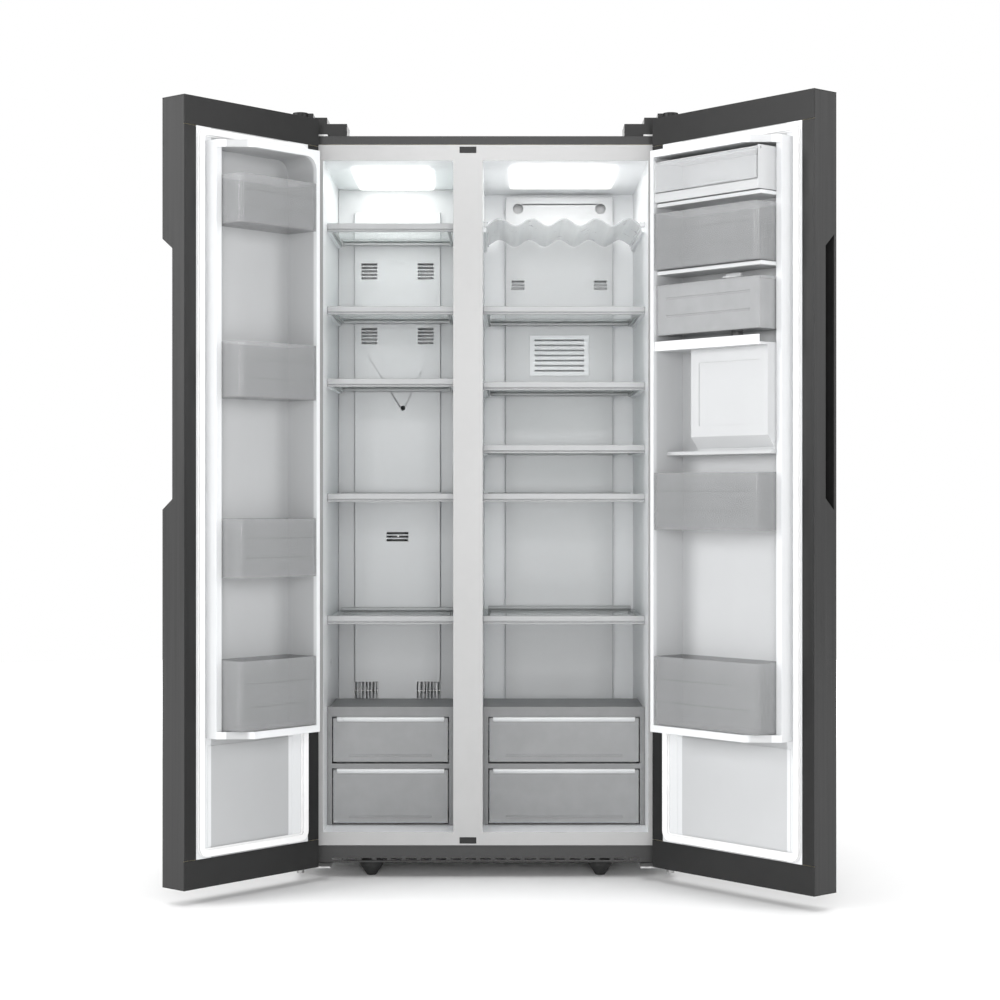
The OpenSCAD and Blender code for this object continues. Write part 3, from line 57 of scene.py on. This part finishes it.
# ---------------------------------------------------------------- materials
def surface(
    name,
    dark,
    light,
    rough,
    scale=30.0,
    stretch=(1, 1, 1),
    swing=0.08,
    bump=0.05,
    fine=900.0,
    fine_stretch=(1, 1, 1),
    **sockets,
):
    """Principled material with a broad noise in colour and roughness, and a fine noise in bump."""
    mat = bpy.data.materials.new(name)
    mat.use_nodes = True
    tree = mat.node_tree
    make, link = tree.nodes.new, tree.links.new
    shader = tree.nodes["Principled BSDF"]
    place = make("ShaderNodeTexCoord").outputs["Object"]

    def noise(size, pull, detail):
        mapping = make("ShaderNodeMapping")
        mapping.inputs["Scale"].default_value = pull
        link(place, mapping.inputs["Vector"])
        tex = make("ShaderNodeTexNoise")
        tex.inputs["Scale"].default_value = size
        tex.inputs["Detail"].default_value = detail
        link(mapping.outputs["Vector"], tex.inputs["Vector"])
        return tex.outputs["Fac"]

    broad = noise(scale, stretch, 4.0)
    ramp = make("ShaderNodeValToRGB")
    ramp.color_ramp.elements[0].position = 0.3
    ramp.color_ramp.elements[0].color = (*dark, 1)
    ramp.color_ramp.elements[1].position = 0.7
    ramp.color_ramp.elements[1].color = (*light, 1)
    link(broad, ramp.inputs["Fac"])
    link(ramp.outputs["Color"], shader.inputs["Base Color"])
    spread = make("ShaderNodeMapRange")
    spread.inputs["To Min"].default_value = rough - swing
    spread.inputs["To Max"].default_value = rough + swing
    link(broad, spread.inputs["Value"])
    link(spread.outputs["Result"], shader.inputs["Roughness"])
    relief = make("ShaderNodeBump")
    relief.inputs["Strength"].default_value = bump
    relief.inputs["Distance"].default_value = 0.4 * MM
    link(noise(fine, fine_stretch, 2.0), relief.inputs["Height"])
    link(relief.outputs["Normal"], shader.inputs["Normal"])
    for socket, value in sockets.items():
        shader.inputs[socket.replace("_", " ")].default_value = value
    return mat


def pair(grey, swing=0.06, tint=(1, 1, 1)):
    """A darker and a lighter version of one colour."""
    return [tuple(grey * (1 + s) * t for t in tint) for s in (-swing, swing)]


BRUSHED = dict(stretch=(1, 1, 0.015), fine_stretch=(1, 1, 0.01), fine=1500.0, bump=0.12)
DOOR_STEEL = dict(scale=160, Specular_IOR_Level=0.3, **BRUSHED)
MOULDED = dict(scale=6, fine=220, bump=0.03, swing=0.05)
COOL = (0.97, 0.985, 1.0)

looks = {
    "coated_steel": surface("coated_steel", *pair(0.016, 0.16), 0.36, scale=160, Metallic=0.3, **BRUSHED),
    "freezer_door_steel": surface("freezer_door_steel", *pair(0.028, 0.16), 0.36, **DOOR_STEEL),
    "fridge_door_steel": surface("fridge_door_steel", *pair(0.028, 0.16), 0.36, **DOOR_STEEL),
    "dark_trim": surface(
        "dark_trim", *pair(0.012, 0.1), 0.42, fine=1800, bump=0.2, Specular_IOR_Level=0.3,
    ),
    "grip_black": surface("grip_black", *pair(0.016, 0.12), 0.4, fine=1500, bump=0.15),
    "galvanised": surface("galvanised", *pair(0.42, 0.14), 0.42, scale=90, swing=0.14, Metallic=0.9),
    "liner": surface("liner", *pair(0.88, 0.012, COOL), 0.3, **MOULDED),
    # door liners: a darker base colour than the cabinet liner's, as painted shade on the door panels
    "freezer_door_liner": surface("freezer_door_liner", *pair(0.68, 0.012, COOL), 0.32, **MOULDED),
    "fridge_door_liner": surface("fridge_door_liner", *pair(0.68, 0.012, COOL), 0.32, **MOULDED),
    "dairy": surface("dairy", *pair(0.46, 0.012, COOL), 0.32, **MOULDED),
    "frame": surface("frame", *pair(0.42, 0.02), 0.4, scale=20, fine=1200),
    "kick": surface("kick", *pair(0.03, 0.08), 0.5, fine=1500, bump=0.25),
    "black_rubber": surface("black_rubber", *pair(0.02, 0.15), 0.7, fine=1300, bump=0.3),
    "duct": surface("duct", *pair(0.6, 0.02, COOL), 0.36, scale=8, fine=900),
    "filter": surface("filter", *pair(0.84, 0.03, COOL), 0.4, fine=900),
    "trim": surface("trim", *pair(0.4, 0.03, COOL), 0.36, fine=800),
    "pull": surface("pull", *pair(0.66, 0.03, COOL), 0.3, fine=800),
    "rack": surface("rack", *pair(0.72, 0.03, COOL), 0.3, fine=800, Alpha=0.5),
    "drawer_frame": surface("drawer_frame", *pair(0.2, 0.05, COOL), 0.42, fine=1300, bump=0.12),
    "cast_black": surface("cast_black", *pair(0.018, 0.2), 0.45, fine=700, bump=0.3),
    "painted_fins": surface("painted_fins", *pair(0.03, 0.15), 0.45, Metallic=0.3),
    "aluminium": surface("aluminium", *pair(0.6, 0.08), 0.35, scale=120, Metallic=1.0),
    "fan_plastic": surface("fan_plastic", *pair(0.1, 0.08), 0.5, fine=900),
    "gasket": surface("gasket", *pair(0.82, 0.03), 0.6, fine=1100, bump=0.1),
    "foam": surface("foam", (0.7, 0.6, 0.36), (0.82, 0.74, 0.48), 0.9, scale=200, fine=700, bump=0.6),
    "clear_drawer": surface("clear_drawer", *pair(0.36, 0.03, COOL), 0.2, fine=500, Alpha=0.72),
    "clear_bin": surface("clear_bin", *pair(0.36, 0.03, COOL), 0.16, fine=500, Alpha=0.42),
    "clear_flap": surface("clear_flap", *pair(0.75, 0.02, COOL), 0.12, fine=500, Alpha=0.3),
    "tank": surface("tank", *pair(0.42, 0.03, COOL), 0.2, fine=500, Alpha=0.6),
    "tank_cap": surface("tank_cap", *pair(0.5, 0.03, COOL), 0.3, fine=700),
    "valve": surface("valve", *pair(0.1, 0.06), 0.45, fine=900),
    "glass": surface(
        "glass", (0.62, 0.74, 0.72), (0.68, 0.8, 0.78), 0.06, swing=0.03, bump=0.01, Alpha=0.22,
    ),
    "niche": surface("niche", *pair(0.03, 0.1), 0.34, fine=1400, bump=0.12),
    "touch_panel": surface("touch_panel", *pair(0.006, 0.2), 0.08, bump=0.005, swing=0.04, Coat_Weight=0.6),
    "drip": surface("drip", *pair(0.02, 0.12), 0.4, fine=1400, bump=0.15),
    "bright_steel": surface("bright_steel", *pair(0.6, 0.1), 0.25, scale=200, Metallic=1.0),
    "lamp": surface(
        "lamp", (0.95, 0.95, 0.93), (1, 1, 0.98), 0.5, fine=300, bump=0.2,
        Emission_Color=(1, 0.995, 0.97, 1),
    ),
    "icon": surface(
        "icon", (0.5, 0.6, 0.65), (0.6, 0.7, 0.75), 0.3,
        Emission_Color=(0.75, 0.9, 1, 1), Emission_Strength=0.8,
    ),
}

look_of = {
    "coated_steel": ["outer_wrap"],
    "freezer_door_steel": ["freezer_door_skin"],
    "fridge_door_steel": ["fridge_door_skin"],
    "dark_trim": ["freezer_door_caps", "fridge_door_caps", "hinge_covers", "mullion_plugs"],
    "grip_black": ["freezer_door_grip", "fridge_door_grip"],
    "galvanised": [
        "back_panel", "base_pan", "machine_cover", "base_channels", "machine_tray", "hinge_brackets",
    ],
    "liner": ["freezer_liner", "fridge_liner"],
    "freezer_door_liner": ["freezer_door_liner"],
    "fridge_door_liner": ["fridge_door_liner"],
    "dairy": ["dairy_box"],
    "frame": ["front_frame"],
    "kick": ["kick_plate"],
    "black_rubber": ["levelling_feet", "roller_set", "power_inlet"],
    "duct": ["freezer_duct", "fridge_duct"],
    "filter": ["filter_cover"],
    "trim": ["freezer_trims", "fridge_trims"],
    "rack": ["bottle_rack"],
    "drawer_frame": ["freezer_drawer_frame", "crisper_frame"],
    "cast_black": ["compressor"],
    "painted_fins": ["condenser"],
    "aluminium": ["evaporator"],
    "fan_plastic": ["evaporator_fan", "condenser_fan"],
    "gasket": ["freezer_door_gasket", "fridge_door_gasket"],
    "foam": ["cabinet_foam", "freezer_door_foam", "fridge_door_foam"],
    "clear_drawer": ["freezer_drawer_top", "freezer_drawer_low", "crisper_top", "crisper_low"],
    "clear_bin": ["freezer_door_bins", "fridge_door_bins"],
    "clear_flap": ["dairy_flap"],
    "tank": ["water_tank"],
    "tank_cap": ["filler_cap"],
    "valve": ["tank_valve"],
    "glass": ["freezer_glass", "fridge_glass"],
    "niche": ["dispenser_niche", "dispenser_paddle"],
    "touch_panel": ["control_panel"],
    "drip": ["drip_tray"],
    "lamp": ["lamps"],
}

# edge rounding of each node in millimetres; thin sheet gets little
edge_round = {
    "outer_wrap": 0.4, "back_panel": 0.4, "base_pan": 0.4, "machine_tray": 0.4,
    "freezer_door_skin": 0.4, "fridge_door_skin": 0.4, "front_frame": 0.5,
    "freezer_door_liner": 3.0, "fridge_door_liner": 3.0, "dairy_box": 1.0,
    "freezer_liner": 2.0, "fridge_liner": 2.0, "hinge_covers": 2.5,
    "freezer_door_caps": 0.8, "fridge_door_caps": 0.8, "freezer_door_bins": 1.0,
    "fridge_door_bins": 1.0, "freezer_duct": 2.0, "fridge_duct": 2.0,
    "freezer_drawer_frame": 1.5, "crisper_frame": 1.5, "kick_plate": 1.5,
    "freezer_trims": 1.5, "fridge_trims": 1.5, "water_tank": 1.2,
    "compressor": 0, "condenser": 0, "evaporator": 0, "evaporator_fan": 0,
    "condenser_fan": 0, "cabinet_foam": 0, "freezer_door_foam": 0, "fridge_door_foam": 0,
}
USUAL_ROUND = 0.8


def soften(obj, width):
    """Joined vertices, rounded edges and even shading, as modifiers."""
    weld = obj.modifiers.new("weld", "WELD")
    weld.merge_threshold = 0.02 * MM
    if width:
        bevel = obj.modifiers.new("bevel", "BEVEL")
        bevel.width = width * MM
        bevel.segments = 2
        bevel.limit_method = "ANGLE"
        bevel.angle_limit = math.radians(40)
    even = obj.modifiers.new("even", "WEIGHTED_NORMAL")
    even.keep_sharp = True


for look, members in look_of.items():
    for node in members:
        obj = nodes[node]
        obj.data.materials.clear()
        obj.data.materials.append(looks[look])
        soften(obj, edge_round.get(node, USUAL_ROUND))
missed = set(nodes) - {n for members in look_of.values() for n in members}
assert not missed, missed


# ---------------------------------------------------------------- door frames
class Door:
    """Places on a door at rest: u from the hinge edge, v from the outer face inward, z up."""

    def __init__(self, side):
        self.body = side + "_door"
        hinge = joints[side + "_door_hinge"]
        swing = math.radians(-hinge["range_deg"][0])
        mirror = 1 if hinge["axis"][2] < 0 else -1
        self.along = Vector((mirror * math.cos(swing), -math.sin(swing), 0))
        self.inward = Vector((mirror * math.sin(swing), math.cos(swing), 0))
        self.u0, self.v0 = 0, 0
        low, _ = self.box(side + "_door_skin")
        self.u0, self.v0 = low.x, low.y

    def box(self, node):
        """Corners of a node's box in the door's own directions."""
        spots = [(p.co @ self.along, p.co @ self.inward, p.co.z) for p in nodes[node].data.vertices]
        low = Vector([min(s[i] for s in spots) for i in range(3)])
        high = Vector([max(s[i] for s in spots) for i in range(3)])
        shift = Vector((self.u0, self.v0, 0))
        return low - shift, high - shift

    def place(self, p):
        """A place on the door in the frame's own coordinates."""
        return self.along * (p[0] + self.u0) + self.inward * (p[1] + self.v0) + Vector((0, 0, p[2]))


freezer_door, fridge_door = Door("freezer"), Door("fridge")


# ---------------------------------------------------------------- painted shade that follows a door's shape
def multiply_base(mat, mask, amount):
    """Base colour times amount where the mask is one, to paint shade into the colour."""
    shader = mat.node_tree.nodes["Principled BSDF"]
    source = shader.inputs["Base Color"].links[0].from_socket
    tone = mat.node_tree.nodes.new("ShaderNodeMix")
    tone.data_type = "RGBA"
    tone.blend_type = "MULTIPLY"
    factor, first, second = tone.inputs[0], tone.inputs[6], tone.inputs[7]
    second.default_value = (amount, amount, amount, 1)
    mat.node_tree.links.new(mask, factor)
    mat.node_tree.links.new(source, first)
    mat.node_tree.links.new(tone.outputs[2], shader.inputs["Base Color"])


def along_axis(tree, source, axis):
    """Distance of a coordinate along an axis."""
    dot = tree.nodes.new("ShaderNodeVectorMath")
    dot.operation = "DOT_PRODUCT"
    tree.links.new(source, dot.inputs[0])
    dot.inputs[1].default_value = axis
    return dot.outputs["Value"]


def ramp_between(tree, source, start, end):
    """One at or before start, falling to nothing at end."""
    spread = tree.nodes.new("ShaderNodeMapRange")
    spread.interpolation_type = "SMOOTHSTEP"
    spread.inputs["From Min"].default_value = start
    spread.inputs["From Max"].default_value = end
    spread.inputs["To Min"].default_value = 1
    spread.inputs["To Max"].default_value = 0
    tree.links.new(source, spread.inputs["Value"])
    return spread.outputs["Result"]


def product(tree, a, b):
    """Two masks multiplied."""
    times = tree.nodes.new("ShaderNodeMath")
    times.operation = "MULTIPLY"
    tree.links.new(a, times.inputs[0])
    tree.links.new(b, times.inputs[1])
    return times.outputs["Value"]


# where the painted shade on the door liners' recess floors ends at the sides and fades out towards the rim
# tops
RECESS_SHADE_EDGE = 2 * MM
RECESS_SHADE_FADE = (14 * MM, 6 * MM)
# range of facing over which the painted shade on the turned-in door steel comes in
BORDER_SHADE_TURN = (-0.95, -0.7)


def paint_recess_shade(door, look, amount):
    """Painted shade: greyer base colour on the recess floor between a door's raised rims."""
    tree = looks[look].node_tree
    place = tree.nodes.new("ShaderNodeTexCoord").outputs["Object"]
    bins_low, bins_high = door.box(door.body + "_bins")
    _, top = door.box(door.body + "_liner")
    across = along_axis(tree, place, door.along)
    depth = along_axis(tree, place, door.inward)
    rim_top = top.y + door.v0
    start, end = bins_low.x + door.u0, bins_high.x + door.u0
    # painted shade mask: one on the recess floor, falling to nothing towards the rim tops
    shaded_floor_mask = ramp_between(tree, depth, rim_top - RECESS_SHADE_FADE[0], rim_top - RECESS_SHADE_FADE[1])
    before_end = ramp_between(tree, across, end, end + RECESS_SHADE_EDGE)
    after_start = tree.nodes.new("ShaderNodeMath")
    after_start.operation = "GREATER_THAN"
    tree.links.new(across, after_start.inputs[0])
    after_start.inputs[1].default_value = start - RECESS_SHADE_EDGE
    inside = product(tree, before_end, after_start.outputs["Value"])
    multiply_base(looks[look], product(tree, inside, shaded_floor_mask), amount)


def paint_border_shade(door, look, amount):
    """Painted shade: darker base colour on the steel where it is turned in round a door's inner face, by
    the way its faces point.
    """
    tree = looks[look].node_tree
    normal = tree.nodes.new("ShaderNodeTexCoord").outputs["Normal"]
    facing = along_axis(tree, normal, -door.inward)
    multiply_base(looks[look], ramp_between(tree, facing, *BORDER_SHADE_TURN), amount)


# painted shade on the door liners' recess floors, darker on the freezer door
paint_recess_shade(freezer_door, "freezer_door_liner", 0.62)
paint_recess_shade(fridge_door, "fridge_door_liner", 0.72)
# painted shade on the door steel turned in round each inner face
paint_border_shade(freezer_door, "freezer_door_steel", 0.35)
paint_border_shade(fridge_door, "fridge_door_steel", 0.35)

# the lamps light their compartments more strongly than they look
LAMP_LIT, LAMP_SEEN = 3.0, 0.55
lamp_tree = looks["lamp"].node_tree
seen = lamp_tree.nodes.new("ShaderNodeLightPath").outputs["Is Camera Ray"]
lamp_power = lamp_tree.nodes.new("ShaderNodeMapRange")
lamp_power.inputs["To Min"].default_value = LAMP_LIT
lamp_power.inputs["To Max"].default_value = LAMP_SEEN
lamp_tree.links.new(seen, lamp_power.inputs["Value"])
lamp_shader = lamp_tree.nodes["Principled BSDF"]
lamp_tree.links.new(lamp_power.outputs["Result"], lamp_shader.inputs["Emission Strength"])


# ---------------------------------------------------------------- mesh helpers
def piece(name, bm, body, look, place=None, replaces=()):
    """A finished mesh as a named object that rides on a body."""
    if place:
        for vert in bm.verts:
            vert.co = place(vert.co)
    bmesh.ops.recalc_face_normals(bm, faces=bm.faces)
    mesh = bpy.data.meshes.new(name)
    bm.to_mesh(mesh)
    bm.free()
    for poly in mesh.polygons:
        poly.use_smooth = True
    obj = bpy.data.objects.new(name, mesh)
    scene.collection.objects.link(obj)
    mesh.materials.append(looks[look])
    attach(obj, body)
    if replaces:
        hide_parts(*replaces)
    return obj


def skin_rings(bm, rings, closed):
    """Faces between neighbouring rings of vertices; closed joins the last ring to the first."""
    pairs = list(zip(rings, rings[1:])) + ([(rings[-1], rings[0])] if closed else [])
    for a, b in pairs:
        for i in range(len(a)):
            j = (i + 1) % len(a)
            bm.faces.new((a[i], a[j], b[j], b[i]))


def corner_path(low, high, radius, steps=6):
    """Points of a rounded rectangle with their outward directions, anticlockwise."""
    path = []
    corners = [(high[0], high[1]), (low[0], high[1]), (low[0], low[1]), (high[0], low[1])]
    for k, (cx, cz) in enumerate(corners):
        sx = -1 if cx == high[0] else 1
        sz = -1 if cz == high[1] else 1
        centre = (cx + sx * radius, cz + sz * radius)
        for i in range(steps + 1):
            turn = math.pi / 2 * (k + i / steps)
            out = (math.cos(turn), math.sin(turn))
            path.append(((centre[0] + radius * out[0], centre[1] + radius * out[1]), out))
    return path


SEAL_W = 19
SEAL_CORNER = 14


def gasket(door, node):
    """Folded magnetic seal swept round the door: foot, bellows and magnet pocket."""
    low, high = door.box(node)
    depth = high.y - low.y
    half = SEAL_W * MM / 2
    profile = [
        (-1.0, 0.0), (1.0, 0.0), (1.0, 0.2), (0.72, 0.26), (0.62, 0.36), (0.8, 0.46),
        (0.9, 0.52), (0.9, 0.96), (0.8, 1.0), (-0.55, 1.0), (-0.68, 0.94), (-0.68, 0.55),
        (-0.4, 0.46), (-0.62, 0.36), (-0.9, 0.3), (-1.0, 0.2),
    ]
    bm = bmesh.new()
    rings = []
    for (x, z), out in corner_path(
        (low.x + half, low.z + half), (high.x - half, high.z - half), SEAL_CORNER * MM
    ):
        ring = []
        for across, up in profile:
            reach = across * half
            ring.append(bm.verts.new((x + out[0] * reach, low.y + up * depth, z + out[1] * reach)))
        rings.append(ring)
    skin_rings(bm, rings, closed=True)
    obj = piece(door.body + "_seal", bm, door.body, "gasket", door.place, (node,))
    obj.modifiers.new("even", "WEIGHTED_NORMAL")


gasket(freezer_door, "freezer_door_gasket")
gasket(fridge_door, "fridge_door_gasket")


# ---------------------------------------------------------------- screws
def screw(bm, at, out, radius):
    """Domed head with a cross recess, standing on a face that looks along out."""
    out = Vector(out).normalized()
    side = out.orthogonal().normalized()
    other = out.cross(side)
    sides = 16

    def ring(r, h, recess=0.0):
        points = []
        for i in range(sides):
            a = 2 * math.pi * i / sides
            sunk = recess if i % 4 == 0 else 0
            points.append(bm.verts.new(
                Vector(at) + (side * math.cos(a) + other * math.sin(a)) * r + out * (h - sunk)
            ))
        return points

    rings = [
        ring(radius, 0), ring(radius, 0.22 * radius), ring(radius * 0.86, 0.42 * radius),
        ring(radius * 0.55, 0.55 * radius, 0.3 * radius), ring(radius * 0.2, 0.56 * radius, 0.34 * radius),
    ]
    skin_rings(bm, rings, closed=False)
    bm.faces.new(rings[-1])
    bm.faces.new(list(reversed(rings[0])))


def screws(name, spots, out, radius, body):
    """One piece with a screw at each spot."""
    bm = bmesh.new()
    for spot in spots:
        screw(bm, spot, out, radius * MM)
    piece(name, bm, body, "bright_steel")


def grid(low, high, xs, zs, y):
    """Points at shares of a box in X and Z, at one Y."""
    return [
        (low.x + (high.x - low.x) * fx, y, low.z + (high.z - low.z) * fz) for fx in xs for fz in zs
    ]


BACKWARD = (0, 1, 0)
SCREW_R = 3.6
back_low, back_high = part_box("back_panel")
back_spots = grid(
    back_low, back_high, (0.02, 0.35, 0.65, 0.98), (0.03, 0.97), back_high.y - 1.4 * MM
)
screws("back_screws", back_spots, BACKWARD, SCREW_R, "cabinet")
cover_low, cover_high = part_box("machine_cover")
cover_spots = grid(
    cover_low, cover_high, (0.03, 0.5, 0.97), (0.06, 0.94), cover_high.y - 0.6 * MM
)
screws("cover_screws", cover_spots, BACKWARD, SCREW_R, "cabinet")


# ---------------------------------------------------------------- drawer pulls
PULL_INSET = 9 * MM
PULL_END = 2 * MM
PULL_PINCH = 0.75
# section of a pull in millimetres: back from the drawer's front, up from its top
PULL_SECTION = [
    (2, -3), (9, -3), (9, 1.6), (6.5, 2.6), (0.6, 2.6),
    (-1.0, 1.4), (-1.6, -1), (-1.6, -9), (0.4, -9), (0.6, -4),
]


def drawer_pull(node):
    """Light rolled lip along the top of a drawer's front."""
    low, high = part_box(node)
    front, top = low.y + 1.0 * MM, high.z
    start, end = low.x + PULL_INSET, high.x - PULL_INSET
    bm = bmesh.new()
    rings = []
    for x, pinch in ((start, PULL_PINCH), (start + PULL_END, 1), (end - PULL_END, 1), (end, PULL_PINCH)):
        size = MM * pinch
        rings.append([bm.verts.new((x, front + y * size, top + z * size)) for y, z in PULL_SECTION])
    skin_rings(bm, rings, closed=False)
    bm.faces.new(rings[-1])
    bm.faces.new(list(reversed(rings[0])))
    piece(node + "_pull", bm, node, "pull")


for node in ("freezer_drawer_top", "freezer_drawer_low", "crisper_top", "crisper_low"):
    drawer_pull(node)

# ---------------------------------------------------------------- dispenser details
panel_low, panel_high = fridge_door.box("control_panel")
niche_low, niche_high = fridge_door.box("dispenser_niche")
niche_mid = (niche_low.x + niche_high.x) / 2


def ring_at(bm, centre, radius, tube, sides=28, around=8):
    """Raised ring lying on the panel's outer face."""
    rings = []
    for i in range(sides):
        a = 2 * math.pi * i / sides
        out = Vector((math.cos(a), 0, math.sin(a)))
        rings.append([
            bm.verts.new(
                centre + out * (radius + tube * math.cos(2 * math.pi * k / around))
                + Vector((0, -tube * math.sin(2 * math.pi * k / around) * 0.5, 0))
            )
            for k in range(around)
        ])
    skin_rings(bm, rings, closed=True)


ICONS = 5
ICON_PITCH = 1.035 / 7
ICON_R, ICON_TUBE = 8.4 * MM, 0.5 * MM
bm = bmesh.new()
for i in range(ICONS):
    shift = (i - (ICONS - 1) / 2) * ICON_PITCH * (panel_high.x - panel_low.x)
    spot = Vector((niche_mid + shift, panel_low.y + 0.4 * MM, (panel_low.z + panel_high.z) / 2))
    ring_at(bm, spot, ICON_R, ICON_TUBE)
piece("panel_icons", bm, "fridge_door", "icon", fridge_door.place)

# nozzle over the glass: stepped and flared spout, as radius and depth in millimetres
SPOUT = [
    (11, 0), (11, 5), (9.4, 6), (9.4, 14), (7.2, 16), (6, 30), (6.6, 33), (4.6, 33), (4.2, 20),
]
SPOUT_SIDES = 24
bm = bmesh.new()
spout_top = panel_low.z - 2 * MM
spout_y = (niche_low.y + niche_high.y) * 0.45
rings = []
for r, down in SPOUT:
    rings.append([
        bm.verts.new((
            niche_mid + r * MM * math.cos(2 * math.pi * k / SPOUT_SIDES),
            spout_y + r * MM * math.sin(2 * math.pi * k / SPOUT_SIDES),
            spout_top - down * MM,
        ))
        for k in range(SPOUT_SIDES)
    ])
skin_rings(bm, rings, closed=False)
bm.faces.new(rings[-1])
bm.faces.new(list(reversed(rings[0])))
piece("dispenser_spout", bm, "fridge_door", "tank_cap", fridge_door.place)


# ---------------------------------------------------------------- stage
FLOOR_R = 7.0
# distances between which the floor starts to glow, in metres from the middle
FLOOR_GLOW = (2.4, 5.0)


def stage_floor():
    """Pale round floor that brightens towards its rim and so runs into the white surround."""
    bm = bmesh.new()
    bmesh.ops.create_circle(bm, cap_ends=True, radius=FLOOR_R, segments=96)
    mesh = bpy.data.meshes.new("studio_floor")
    bm.to_mesh(mesh)
    bm.free()
    obj = bpy.data.objects.new("studio_floor", mesh)
    scene.collection.objects.link(obj)
    mat = surface(
        "floor", (0.9, 0.9, 0.9), (0.93, 0.93, 0.93), 0.75, scale=1.5, fine=80, bump=0.01,
        Emission_Color=(1, 1, 1, 1),
    )
    shader = mat.node_tree.nodes["Principled BSDF"]
    make, link = mat.node_tree.nodes.new, mat.node_tree.links.new
    far = make("ShaderNodeVectorMath")
    far.operation = "LENGTH"
    link(make("ShaderNodeTexCoord").outputs["Object"], far.inputs[0])
    glow = make("ShaderNodeMapRange")
    glow.inputs["From Min"].default_value, glow.inputs["From Max"].default_value = FLOOR_GLOW
    link(far.outputs["Value"], glow.inputs["Value"])
    link(glow.outputs["Result"], shader.inputs["Emission Strength"])
    mesh.materials.append(mat)


stage_floor()


def area(name, at, aim, size, power):
    """Rectangular lamp at a place, turned towards another."""
    lamp = bpy.data.lights.new(name, "AREA")
    lamp.shape = "RECTANGLE"
    lamp.size, lamp.size_y = size
    lamp.energy = power
    obj = bpy.data.objects.new(name, lamp)
    scene.collection.objects.link(obj)
    obj.location = at
    obj.rotation_euler = (Vector(aim) - Vector(at)).to_track_quat("-Z", "Y").to_euler()


area("front", (0.0, -6.5, 1.6), (0, 0.3, 0.9), (2.6, 2.2), 185)
area("key", (-5.0, -2.2, 2.4), (0, 0, 0.9), (2.5, 2.5), 190)
area("fill", (5.0, -2.2, 2.4), (0, 0, 0.9), (2.5, 2.5), 110)
area("overhead", (0, -0.5, 5.0), (0, 0, 0), (6.0, 5.0), 190)
area("rear", (0, 3.5, 3.2), (0, 0, 0.9), (4.0, 2.5), 90)

# the white room lights the object less strongly than it looks
ROOM_LIGHT, ROOM_SEEN = 0.35, 1.0
world = bpy.data.worlds.new("studio")
scene.world = world
world.use_nodes = True
tree = world.node_tree
background = tree.nodes["Background"]
background.inputs["Color"].default_value = (1, 1, 1, 1)
path = tree.nodes.new("ShaderNodeLightPath")
strength = tree.nodes.new("ShaderNodeMapRange")
strength.inputs["To Min"].default_value = ROOM_LIGHT
strength.inputs["To Max"].default_value = ROOM_SEEN
tree.links.new(path.outputs["Is Camera Ray"], strength.inputs["Value"])
tree.links.new(strength.outputs["Result"], background.inputs["Strength"])

# a level camera about five metres in front
camera = bpy.data.cameras.new("camera")
camera.sensor_width = 36
camera.lens = 76.03
view = bpy.data.objects.new("camera", camera)
scene.collection.objects.link(view)
view.location = (0.0064, -5.0999, 0.895)
view.rotation_euler = (math.pi / 2, 0, 0)
camera.clip_end = 60
scene.camera = view
scene.view_settings.view_transform = "Standard"
